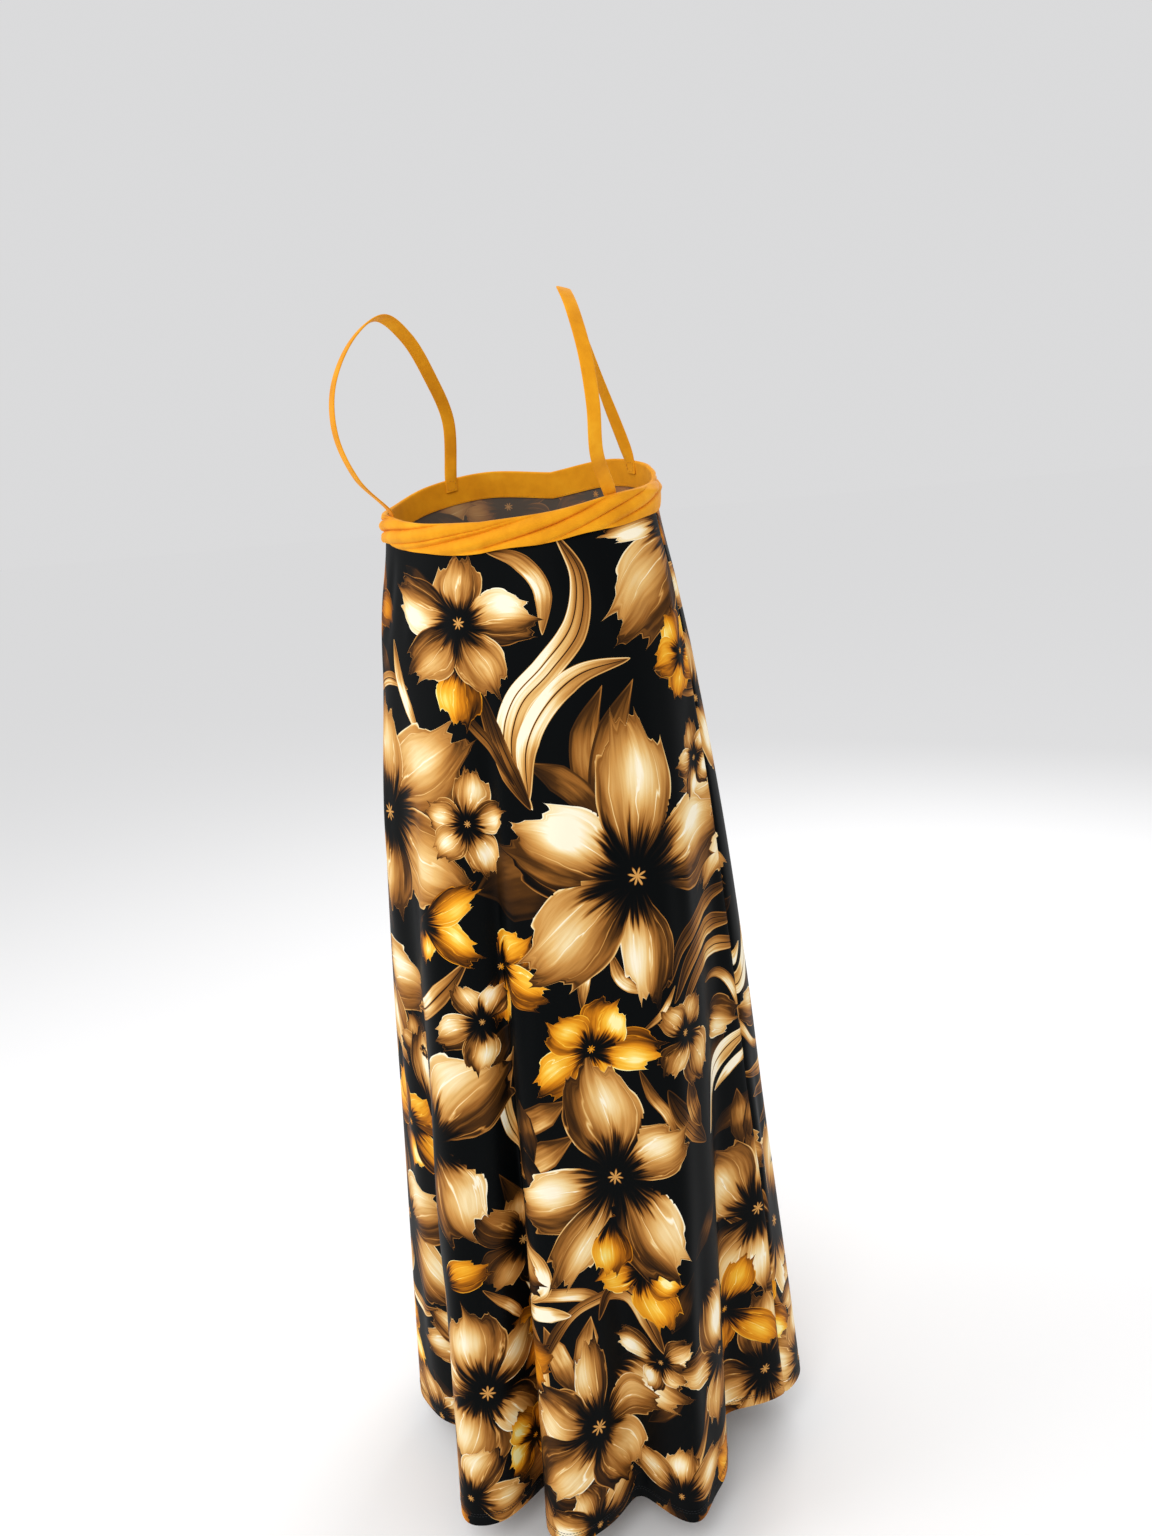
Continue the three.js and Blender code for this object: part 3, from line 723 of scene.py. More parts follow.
def listMotifs(turned):
    # every petal, strand and leaf; the front panel has the same list turned half round
    petals, strands, hearts = [], [], []
    lowest = [(wholeFirst + number, wholeFlower(number, row)) for number, row in enumerate(wholeFlowers)]
    for number, (across, drop, dye, heart, parts) in lowest + list(enumerate(flowers)):
        for index, (direction, length, width, bend, *lit) in enumerate(parts):
            seed = seedOf(number * 7 + index * 3 + 1)
            if lit:
                # the nearest seed that the petal's look takes for this brightness
                seed = (round(seed * glowRate - 1) % 6 + lit[0] * 0.98) / glowRate
            # whole flowers near the middle are darkened, partly as darker print and partly as painted shade:
            # their seeds go above 1
            if number >= wholeFirst and abs(across) < paintedShadeReach:
                seed += 1
            petals.append((across, drop, direction, length * petalGrowth["length"],
                           width * petalGrowth["width"], bend, dye, seed, number))
        if heart:
            hearts.append((across, drop, heart, seedOf(number + 5)))
    for number, (line, width, light) in enumerate(leaves):
        strands.append((line, width, light, 0, seedOf(number + 3)))
    for number, (line, width, light, lines) in enumerate(tendrils):
        strands.append((line, width, light, lines, seedOf(number * 5 + 2)))
    if turned:
        petals = [(-p[0], frontTurn - p[1], p[2] + 180, *p[3:]) for p in petals]
        hearts = [(-h[0], frontTurn - h[1], *h[2:]) for h in hearts]
        strands = [([(-a, frontTurn - d) for a, d in s[0]], *s[1:]) for s in strands]
    return petals, strands, hearts


def layPrint(across, drop, turned):
    # the print's layers: for each corner of each face a place in the motif that shows there
    petals, strands, hearts = listMotifs(turned)
    faces = len(across)
    middleAcross, middleDrop = across.mean(1), drop.mean(1)
    layers = {}
    for kind, count in (("strand", strandLayers), ("petal", petalLayers)):
        for number in range(count):
            values = np.zeros((faces, 4, 4), np.float32)
            values[..., 0] = -farAway
            layers[kind + str(number + 1)] = [values, np.full(faces, -float(farAway))]
    hearty = np.zeros((faces, 4, 4), np.float32)
    hearty[..., :2] = farAway
    taken = np.zeros(faces, np.int32)
    strandsDeep = 0

    def paint(layer, near, corners, margin):
        values, best = layers[layer]
        better = (margin > -laying["certain"]) | (margin > best[near])
        values[near[better]] = corners[better]
        best[near[better]] = margin[better]

    for line, width, light, lines, seed in strands:
        low = np.min(line, axis=0) - width * laying["strandPad"]
        high = np.max(line, axis=0) + width * laying["strandPad"]
        near = np.nonzero((middleAcross > low[0]) & (middleAcross < high[0])
                          & (middleDrop > low[1]) & (middleDrop < high[1]))[0]
        if not len(near):
            continue
        along, side = strandPlace(across[near], drop[near], line, width)
        alongMiddle, sideMiddle = strandPlace(middleAcross[near], middleDrop[near], line, width)
        margin = strandTaper(alongMiddle) - np.abs(sideMiddle)
        slack = laying["strandSlack"] / width
        first, last = laying["strandSpan"]
        inside = (margin > -laying["strandEdge"] - slack) & (alongMiddle > first) & (alongMiddle < last)
        near, along, side, margin = near[inside], along[inside], side[inside], margin[inside]
        solid = near[margin > -laying["strandMargin"] - slack]
        level = 1 + (taken[solid].max() if len(solid) else 0)
        strandsDeep = max(strandsDeep, level)
        level = min(strandLayers, level)
        taken[solid] = level
        corners = np.stack([along, side, np.full_like(along, light),
                            np.full_like(along, lines + seed * 0.9)], -1)
        paint("strand" + str(level), near, corners, margin)

    deepest = 0
    owner = np.full((petalLayers + 2, faces), -1)
    for petal in petals:
        direction, length, width, bend, dye, seed, flower = petal[2:]
        reach = max(length * laying["petalReach"], width) + laying["petalPad"]
        near = np.nonzero(np.hypot(middleAcross - petal[0], middleDrop - petal[1]) < reach)[0]
        if not len(near):
            continue
        along, side = petalPlace(across[near], drop[near], petal)
        alongMiddle, sideMiddle = petalPlace(middleAcross[near], middleDrop[near], petal)
        margin = petalEdge(alongMiddle * laying["tipRoom"], sideMiddle)
        slack = laying["petalSlack"] / width
        first, last = laying["petalSpan"]
        inside = (margin > -laying["petalEdge"] - slack) & (alongMiddle > first) & (alongMiddle < last)
        near, along, side, margin, alongMiddle = (a[inside] for a in (near, along, side, margin, alongMiddle))
        solid = near[(margin > -laying["petalMargin"] - slack) & (alongMiddle > laying["footEnd"])]
        base = 0
        blocked = set()
        for level in range(1, petalLayers + 1):
            owners = owner[level][solid]
            if np.any((owners >= 0) & (owners != flower)):
                base = level
            if np.any(owners == flower):
                blocked.add(level)
        level = base + 1
        while level in blocked:
            level += 1
        deepest = max(deepest, level)
        level = min(level, petalLayers)
        owner[level][solid] = flower
        corners = np.stack([along, side, np.full_like(along, dye), np.full_like(along, seed)], -1)
        paint("petal" + str(level), near, corners, margin)
    print("layers wanted: strands", strandsDeep, "petals", deepest)

    for heartAcross, heartDrop, radius, seed in hearts:
        reach = radius * laying["heartReach"] + laying["heartPad"]
        near = np.nonzero(np.hypot(middleAcross - heartAcross, middleDrop - heartDrop) < reach)[0]
        hearty[near] = np.stack([(across[near] - heartAcross) / radius, (drop[near] - heartDrop) / radius,
                                 np.zeros((len(near), 4)), np.full((len(near), 4), seed)], -1)
    return {**{name: values for name, (values, best) in layers.items()}, "heart": hearty}


def addNode(tree, kind, inputs=(), **settings):
    # adds a node with its settings; a node or socket given as an input is linked, anything else is a value
    made = tree.nodes.new("ShaderNode" + kind)
    for name, value in settings.items():
        setattr(made, name, value)
    for name, value in dict(inputs).items():
        if isinstance(value, bpy.types.Node):
            value = value.outputs[0]
        if isinstance(value, bpy.types.NodeSocket):
            tree.links.new(value, made.inputs[name])
        else:
            made.inputs[name].default_value = value
    return made


def linear(code, alpha=1.0):
    parts = [int(code[index:index + 2], 16) / 255 for index in (1, 3, 5)]
    return tuple(part / 12.92 if part <= 0.04045 else ((part + 0.055) / 1.055) ** 2.4
                 for part in parts) + (alpha,)


def perMetre(spacing):
    # a pattern's scale from the distance between its marks in mm
    return 1 / (spacing * mm)


def setRamp(node, stops):
    elements = node.color_ramp.elements
    while len(elements) < len(stops):
        elements.new(0.5)
    for element, (place, code) in zip(elements, stops):
        element.position = place
        element.color = linear(code)
    return node


def setCurve(node, points):
    # a new curve has its two end points
    curve = node.mapping.curves[0]
    curve.points[0].location = points[0]
    for place, value in points[1:-1]:
        curve.points.new(place, value)
    curve.points[-1].location = points[-1]
    node.mapping.update()
    return node


def newMaterial(name):
    material = bpy.data.materials.new(name)
    material.use_nodes = True
    material.node_tree.nodes.clear()
    return material, material.node_tree


def newGroup(name, inputs, outputs):
    tree = bpy.data.node_groups.new(name, "ShaderNodeTree")
    for title, kind in inputs:
        tree.interface.new_socket(title, in_out="INPUT", socket_type="NodeSocket" + kind)
    for title, kind in outputs:
        tree.interface.new_socket(title, in_out="OUTPUT", socket_type="NodeSocket" + kind)
    return tree, tree.nodes.new("NodeGroupInput").outputs, tree.nodes.new("NodeGroupOutput").inputs


def layerGroup(name):
    return newGroup(name, [("Place", "Vector"), ("Dye", "Vector"), ("Layer", "Color"), ("Seed", "Float")],
                    [("Place", "Vector"), ("Dye", "Vector")])


def layOver(tree, given, result, shown, place, width, tag):
    # where a motif shows, its place and its dye take over from what is below
    along, side, edge = place
    wide = addNode(tree, "Math", {0: width, 1: 0.08}, operation="MAXIMUM")
    fan = addNode(tree, "Math", {0: side, 1: wide}, operation="DIVIDE")
    place = addNode(tree, "CombineXYZ", {0: along, 1: fan, 2: edge})
    tag = addNode(tree, "CombineXYZ", dict(enumerate(tag)))
    for title, value in (("Place", place), ("Dye", tag)):
        mixed = addNode(tree, "Mix", {0: shown, 4: given[title], 5: value}, data_type="VECTOR")
        tree.links.new(mixed.outputs[1], result[title])


petalShape = {            # shares of a petal's length or half width
    "waves": 7.0,         # its sides wave a little
    "waveDepth": 0.07,
    "points": 3.4,        # torn tip: a few long sharp points and shorter ones between them
    "finePoints": 8.3,
    "fineShare": 0.3,
    "tornFrom": 0.35,
    "tornDepth": 0.17,
    "lean": 0.42,         # the tip leans to one side
    "leanDepth": 0.13,
}


def petalLayerGroup():
    # lays one layer of petals over what is below: place is (along, across, distance to the edge)
    tree, given, result = layerGroup("petal layer")
    parts = addNode(tree, "SeparateColor", {0: given["Layer"]}).outputs
    along, side, dye = parts[0], parts[1], parts[2]
    seed = given["Seed"]
    phase = addNode(tree, "Math", {0: seed, 1: 31.0}, operation="MULTIPLY")
    wave = addNode(tree, "Math", {0: along, 1: petalShape["waves"], 2: phase}, operation="MULTIPLY_ADD")
    wave = addNode(tree, "Math", {0: wave}, operation="SINE")
    side = addNode(tree, "Math", {0: wave, 1: petalShape["waveDepth"], 2: side}, operation="MULTIPLY_ADD")
    tear = addNode(tree, "Math", {0: side, 1: petalShape["points"], 2: phase}, operation="MULTIPLY_ADD")
    tear = addNode(tree, "Math", {0: tear, 1: 1.0}, operation="PINGPONG")
    tear = addNode(tree, "Math", {0: tear}, operation="SQRT")
    tearFine = addNode(tree, "Math", {0: side, 1: petalShape["finePoints"], 2: phase},
                       operation="MULTIPLY_ADD")
    tearFine = addNode(tree, "Math", {0: tearFine, 1: 1.0}, operation="PINGPONG")
    tear = addNode(tree, "Math", {0: tearFine, 1: petalShape["fineShare"], 2: tear}, operation="MULTIPLY_ADD")
    tear = addNode(tree, "Math", {0: tear, 1: 0.5}, operation="SUBTRACT")
    nearTip = addNode(tree, "MapRange", {"Value": along, "From Min": petalShape["tornFrom"], "From Max": 0.9,
                                         "To Min": 0.0, "To Max": petalShape["tornDepth"]})
    reach = addNode(tree, "Math", {0: tear, 1: nearTip, 2: along}, operation="MULTIPLY_ADD")
    lean = addNode(tree, "Math", {0: seed, 1: 40.0}, operation="MULTIPLY")
    lean = addNode(tree, "Math", {0: lean}, operation="SINE")
    lean = addNode(tree, "Math", {0: lean, 1: petalShape["lean"], 2: side}, operation="MULTIPLY_ADD")
    lean = addNode(tree, "Math", {0: lean}, operation="ABSOLUTE")
    reach = addNode(tree, "Math", {0: lean, 1: petalShape["leanDepth"], 2: reach}, operation="MULTIPLY_ADD")
    width = setCurve(addNode(tree, "FloatCurve", {"Value": reach}), outline)
    off = addNode(tree, "Math", {0: side}, operation="ABSOLUTE")
    edge = addNode(tree, "Math", {0: width, 1: off}, operation="SUBTRACT")
    shown = addNode(tree, "Math", {0: edge, 1: along}, operation="MINIMUM")
    shown = addNode(tree, "Math", {0: shown, 1: 0.0}, operation="GREATER_THAN")
    layOver(tree, given, result, shown, (along, side, edge), width, (dye, seed, 1.0))
    return tree


def strandLayerGroup():
    # the same for one layer of tendrils and leaves
    tree, given, result = layerGroup("strand layer")
    parts = addNode(tree, "SeparateColor", {0: given["Layer"]}).outputs
    along, side, light = parts[0], parts[1], parts[2]
    slope = 1 / strandEnds[1]
    rising = addNode(tree, "Math", {0: along, 1: strandEnds[0]}, operation="DIVIDE")
    falling = addNode(tree, "Math", {0: along, 1: -slope, 2: slope}, operation="MULTIPLY_ADD")
    width = addNode(tree, "Math", {0: rising, 1: falling}, operation="MINIMUM", use_clamp=True)
    # leaves, whose seed is below 1, end in sharper points than tendrils
    isLeaf = addNode(tree, "Math", {0: given["Seed"], 1: 1.0}, operation="LESS_THAN")
    point = addNode(tree, "Math", {0: isLeaf, 1: 0.3, 2: 0.65}, operation="MULTIPLY_ADD")
    width = addNode(tree, "Math", {0: width, 1: point}, operation="POWER")
    off = addNode(tree, "Math", {0: side}, operation="ABSOLUTE")
    edge = addNode(tree, "Math", {0: width, 1: off}, operation="SUBTRACT")
    shown = addNode(tree, "Math", {0: edge, 1: 0.0}, operation="GREATER_THAN")
    layOver(tree, given, result, shown, (along, side, edge), width, (light, given["Seed"], 2.0))
    return tree


petalLook = {             # shares of full lightness, and of a petal's length or half width
    "lengthwise": [(0, 0.2), (0.2, 0.34), (0.45, 0.42), (0.72, 0.38), (1, 0.22)],
    "litAlong": 0.6,      # middle of the lit place, and how far it may lie to one side
    "litAside": 0.38,
    "litNarrow": 3.2,
    "litShort": 16.0,
    "litRagged": 2.6,
    "litMost": 1.2,
    "glow": 0.42,         # the brightest petals are lit this much more than the dullest
    "glowLeast": 0.24,
    "fall": 0.23,         # one side of the blade falls into brown
    "broad": 0.85,        # broad and fine strokes
    "fine": 0.3,
    "vein": 0.32,
    "veinWidth": 0.045,
    "veinFades": (0.88, 0.45),
    "rim": 0.32,
    "rimEdge": (0.012, 0.05),
    "foot": (-0.17, 0.06),
    "streak": 0.62,       # the dark foot's streaks reach this far up
}


def petalLookGroup():
    # lightness of a petal: dark streaked foot, pale lit blade, fine veins, thin light rim
    tree, given, result = newGroup("petal look", [("Place", "Vector"), ("Dye", "Vector")],
                                   [("Light", "Float")])
    place = addNode(tree, "SeparateXYZ", {0: given["Place"]}).outputs
    tag = addNode(tree, "SeparateXYZ", {0: given["Dye"]}).outputs
    along, fan, edge, seed = place[0], place[1], place[2], tag[1]
    apart = addNode(tree, "Math", {0: seed, 1: 57.0}, operation="MULTIPLY")
    broad = addNode(tree, "CombineXYZ", {
        0: addNode(tree, "Math", {0: fan, 1: 2.2}, operation="MULTIPLY"),
        1: addNode(tree, "Math", {0: along, 1: 1.1}, operation="MULTIPLY"),
        2: apart})
    broad = addNode(tree, "TexNoise", {"Vector": broad, "Scale": 1.0, "Detail": 3.0, "Roughness": 0.55,
                                       "Distortion": 0.6})
    shift = addNode(tree, "Math", {0: broad, 1: 3.0}, operation="MULTIPLY")
    fine = addNode(tree, "CombineXYZ", {
        0: addNode(tree, "Math", {0: fan, 1: 9.0, 2: shift}, operation="MULTIPLY_ADD"),
        1: addNode(tree, "Math", {0: along, 1: 2.0}, operation="MULTIPLY"),
        2: apart})
    fine = addNode(tree, "TexNoise", {"Vector": fine, "Scale": 1.0, "Detail": 2.0, "Roughness": 0.6})
    # strokes above and below the middle tone
    broadStroke = addNode(tree, "Math", {0: broad, 1: 0.5}, operation="SUBTRACT")
    fineStroke = addNode(tree, "Math", {0: fine, 1: 0.5}, operation="SUBTRACT")
    # one place on each blade is lit
    turn = addNode(tree, "Math", {0: seed, 1: 40.0}, operation="MULTIPLY")
    turn = addNode(tree, "Math", {0: turn}, operation="SINE")
    litFan = addNode(tree, "Math", {0: turn, 1: -petalLook["litAside"], 2: fan}, operation="MULTIPLY_ADD")
    litAlong = addNode(tree, "Math", {0: along, 1: petalLook["litAlong"]}, operation="SUBTRACT")
    far = addNode(tree, "Math", {0: litFan, 1: litFan}, operation="MULTIPLY")
    far = addNode(tree, "Math", {0: far, 1: petalLook["litNarrow"]}, operation="MULTIPLY")
    near = addNode(tree, "Math", {0: litAlong, 1: litAlong}, operation="MULTIPLY")
    far = addNode(tree, "Math", {0: near, 1: petalLook["litShort"], 2: far}, operation="MULTIPLY_ADD")
    far = addNode(tree, "Math", {0: broadStroke, 1: petalLook["litRagged"], 2: far}, operation="MULTIPLY_ADD")
    lit = addNode(tree, "Math", {0: far, 1: -1.0}, operation="MULTIPLY")
    lit = addNode(tree, "Math", {0: lit}, operation="EXPONENT")
    lit = addNode(tree, "Math", {0: lit, 1: petalLook["litMost"]}, operation="MINIMUM")
    base = setCurve(addNode(tree, "FloatCurve", {"Value": along}), petalLook["lengthwise"])
    # some petals are lit brightly, others stay tan
    glow = addNode(tree, "Math", {0: seed, 1: glowRate}, operation="MULTIPLY")
    glow = addNode(tree, "Math", {0: glow}, operation="FRACT")
    glow = addNode(tree, "Math", {0: glow, 1: petalLook["glow"], 2: petalLook["glowLeast"]},
                   operation="MULTIPLY_ADD")
    light = addNode(tree, "Math", {0: lit, 1: glow, 2: base}, operation="MULTIPLY_ADD")
    fall = addNode(tree, "Math", {0: fan, 1: turn}, operation="MULTIPLY")
    for part, share in ((fall, "fall"), (broadStroke, "broad"), (fineStroke, "fine")):
        light = addNode(tree, "Math", {0: part, 1: petalLook[share], 2: light}, operation="MULTIPLY_ADD")
    # veins: a few pale lines from the foot
    wander = addNode(tree, "Math", {0: broad, 1: 1.4, 2: seed}, operation="MULTIPLY_ADD")
    vein = addNode(tree, "Math", {0: fan, 1: 1.7, 2: wander}, operation="MULTIPLY_ADD")
    vein = addNode(tree, "Math", {0: vein, 1: 0.5}, operation="PINGPONG")
    vein = addNode(tree, "MapRange", {"Value": vein, "From Min": 0.0, "From Max": petalLook["veinWidth"],
                                      "To Min": 1.0, "To Max": 0.0})
    gone, full = petalLook["veinFades"]
    held = addNode(tree, "MapRange", {"Value": along, "From Min": gone, "From Max": full, "To Min": 0.0,
                                      "To Max": petalLook["vein"]})
    light = addNode(tree, "Math", {0: vein, 1: held, 2: light}, operation="MULTIPLY_ADD")
    # thin light rim
    full, gone = petalLook["rimEdge"]
    rim = addNode(tree, "MapRange", {"Value": edge, "From Min": full, "From Max": gone,
                                     "To Min": petalLook["rim"], "To Max": 0.0})
    light = addNode(tree, "Math", {0: light, 1: rim}, operation="ADD")
    # dark foot with streaks running up the petal
    streak = addNode(tree, "CombineXYZ", {
        0: addNode(tree, "Math", {0: fan, 1: 5.5}, operation="MULTIPLY"),
        1: addNode(tree, "Math", {0: along, 1: 1.5}, operation="MULTIPLY"),
        2: addNode(tree, "Math", {0: apart, 1: 11.0}, operation="ADD")})
    streak = addNode(tree, "TexNoise", {"Vector": streak, "Scale": 1.0, "Detail": 2.0, "Roughness": 0.7})
    start = addNode(tree, "Math", {0: streak, 1: -petalLook["streak"], 2: along}, operation="MULTIPLY_ADD")
    dark, full = petalLook["foot"]
    foot = addNode(tree, "MapRange", {"Value": start, "From Min": dark, "From Max": full, "To Min": 0.0,
                                      "To Max": 1.0}, interpolation_type="SMOOTHSTEP")
    light = addNode(tree, "Math", {0: light, 1: foot}, operation="MULTIPLY")
    # flowers that lie between the others are darkened, partly as darker print and partly as painted shade
    paintedShade = addNode(tree, "Math", {0: seed, 1: 1.0}, operation="GREATER_THAN")
    paintedShade = addNode(tree, "Math", {0: paintedShade, 1: paintedShadeLight - 1, 2: 1.0}, operation="MULTIPLY_ADD")
    light = addNode(tree, "Math", {0: light, 1: paintedShade}, operation="MULTIPLY")
    tree.links.new(light.outputs[0], result["Light"])
    return tree


strandLook = {            # shares of full lightness, and of a strand's half width
    "lengthwise": [(0, 0.24), (0.2, 0.5), (0.38, 0.68), (0.56, 1.0), (0.78, 0.66), (1, 0.45)],
    "line": (0.01, 0.12),     # a dark line between two strands
    "lineLight": 0.2,
    "grain": 0.9,
    "grainLeast": 0.55,
    "edgeFall": 0.3,      # one edge of the tendril is browner
    "middle": 0.95,
    "rim": 0.45,
    "rimEdge": (0.03, 0.15),
}


def strandLookGroup():
    # lightness of a tendril: smooth strands side by side, dark lines between them, light along their middles
    tree, given, result = newGroup("strand look", [("Place", "Vector"), ("Dye", "Vector")],
                                   [("Light", "Float")])
    place = addNode(tree, "SeparateXYZ", {0: given["Place"]}).outputs
    tag = addNode(tree, "SeparateXYZ", {0: given["Dye"]}).outputs
    along, fan, light, seed = place[0], place[1], tag[0], tag[1]
    lines = addNode(tree, "Math", {0: seed, 1: 0.45}, operation="SUBTRACT")
    lines = addNode(tree, "Math", {0: lines}, operation="ROUND")
    lines = addNode(tree, "Math", {0: lines, 1: 1.0}, operation="MAXIMUM")
    spread = addNode(tree, "Math", {0: fan, 1: 0.5, 2: 0.5}, operation="MULTIPLY_ADD")
    spread = addNode(tree, "Math", {0: spread, 1: lines}, operation="MULTIPLY")
    within = addNode(tree, "Math", {0: spread}, operation="FRACT")
    within = addNode(tree, "Math", {0: within, 1: 0.5}, operation="PINGPONG")
    dark, full = strandLook["line"]
    body = addNode(tree, "MapRange", {"Value": within, "From Min": dark, "From Max": full,
                                      "To Min": strandLook["lineLight"], "To Max": 1.0},
                   interpolation_type="SMOOTHSTEP")
    grain = addNode(tree, "CombineXYZ", {
        0: addNode(tree, "Math", {0: fan, 1: 3.5}, operation="MULTIPLY"),
        1: addNode(tree, "Math", {0: along, 1: 3.0}, operation="MULTIPLY"),
        2: addNode(tree, "Math", {0: seed, 1: 37.0}, operation="MULTIPLY")})
    grain = addNode(tree, "TexNoise", {"Vector": grain, "Scale": 1.0, "Detail": 2.0})
    grain = addNode(tree, "Math", {0: grain, 1: strandLook["grain"], 2: strandLook["grainLeast"]},
                    operation="MULTIPLY_ADD")
    ends = setCurve(addNode(tree, "FloatCurve", {"Value": along}), strandLook["lengthwise"])
    across = addNode(tree, "Math", {0: fan, 1: strandLook["edgeFall"], 2: strandLook["middle"]},
                     operation="MULTIPLY_ADD")
    tone = light
    for part in (grain, body, across, ends):
        tone = addNode(tree, "Math", {0: tone, 1: part}, operation="MULTIPLY")
    # thin light rim, fainter on the dark strands
    full, gone = strandLook["rimEdge"]
    rim = addNode(tree, "MapRange", {"Value": place[2], "From Min": full, "From Max": gone,
                                     "To Min": strandLook["rim"], "To Max": 0.0})
    tone = addNode(tree, "Math", {0: rim, 1: light, 2: tone}, operation="MULTIPLY_ADD")
    tree.links.new(tone.outputs[0], result["Light"])
    return tree


heartLook = {             # shares of the heart's radius and of full lightness
    "rays": 8.0,
    "starSize": 0.3,
    "rayLength": 0.16,
    "starRough": 0.25,
    "starEdge": (0.08, 0.2),
    "starLight": 0.62,
    "darkSize": 0.1,
    "darkRough": 1.3,
    "darkEdge": (-0.1, 0.3),
    "dark": 0.06,
}


def heartGroup():
    # dark middle of a flower with an eight-pointed star
    tree, given, result = newGroup("heart", [("Light", "Float"), ("Heart", "Color"), ("Seed", "Float")],
                                   [("Light", "Float")])
    parts = addNode(tree, "SeparateColor", {0: given["Heart"]}).outputs
    radius = addNode(tree, "Math", {
        0: addNode(tree, "Math", {0: parts[0], 1: parts[0]}, operation="MULTIPLY"),
        1: addNode(tree, "Math", {0: parts[1], 1: parts[1]}, operation="MULTIPLY")}, operation="ADD")
    radius = addNode(tree, "Math", {0: radius}, operation="SQRT")
    angle = addNode(tree, "Math", {0: parts[1], 1: parts[0]}, operation="ARCTAN2")
    ray = addNode(tree, "Math", {0: given["Seed"], 1: 9.0}, operation="MULTIPLY")
    ray = addNode(tree, "Math", {0: angle, 1: heartLook["rays"], 2: ray}, operation="MULTIPLY_ADD")
    ray = addNode(tree, "Math", {0: ray}, operation="COSINE")
    apart = addNode(tree, "Math", {0: given["Seed"], 1: 20.0}, operation="MULTIPLY")
    rough = addNode(tree, "CombineXYZ", {0: parts[0], 1: parts[1], 2: apart})
    rough = addNode(tree, "TexNoise", {"Vector": rough, "Scale": 2.3, "Detail": 2.0})
    star = addNode(tree, "Math", {0: ray, 1: heartLook["rayLength"], 2: heartLook["starSize"]},
                   operation="MULTIPLY_ADD")
    star = addNode(tree, "Math", {0: rough, 1: heartLook["starRough"], 2: star}, operation="MULTIPLY_ADD")
    star = addNode(tree, "Math", {0: star, 1: radius}, operation="SUBTRACT")
    gone, full = heartLook["starEdge"]
    star = addNode(tree, "MapRange", {"Value": star, "From Min": gone, "From Max": full, "To Min": 0.0,
                                      "To Max": 1.0})
    dark = addNode(tree, "Math", {0: rough, 1: heartLook["darkRough"], 2: heartLook["darkSize"]},
                   operation="MULTIPLY_ADD")
    dark = addNode(tree, "Math", {0: radius, 1: dark}, operation="SUBTRACT")
    full, gone = heartLook["darkEdge"]
    dark = addNode(tree, "MapRange", {"Value": dark, "From Min": full, "From Max": gone,
                                      "To Min": heartLook["dark"], "To Max": 1.0},
                   interpolation_type="SMOOTHSTEP")
    light = addNode(tree, "Math", {0: given["Light"], 1: dark}, operation="MULTIPLY")
    light = addNode(tree, "Mix", {0: star, 2: light, 3: heartLook["starLight"]}, data_type="FLOAT")
    tree.links.new(light.outputs[0], result["Light"])
    return tree


printedJersey = {         # spacing and depth in mm
    "tan": [(0.0, "#010304"), (0.13, "#120a05"), (0.29, "#4e2e0e"), (0.43, "#986026"), (0.6, "#cb9149"),
            (0.74, "#e6b972"), (0.88, "#f7dea9"), (1.0, "#fff4d9")],
    "mustard": [(0.0, "#010304"), (0.14, "#2a1604"), (0.3, "#7a4306"), (0.46, "#c57510"), (0.62, "#ea9a1b"),
                (0.8, "#f9bd3a"), (0.92, "#ffdc6e"), (1.0, "#fff0a8")],
    "undyed": "#8f8377",
    "reverseFade": 0.4,   # share of the undyed yarn that shows on the reverse
    "ribSpacing": 1.11,
    "ribStrength": 0.12,
    "ribDepth": 0.4,
    "roughness": 0.52,
    "sheen": 0.005,
    "sheenRoughness": 0.4,
    "specular": 0.06,
}


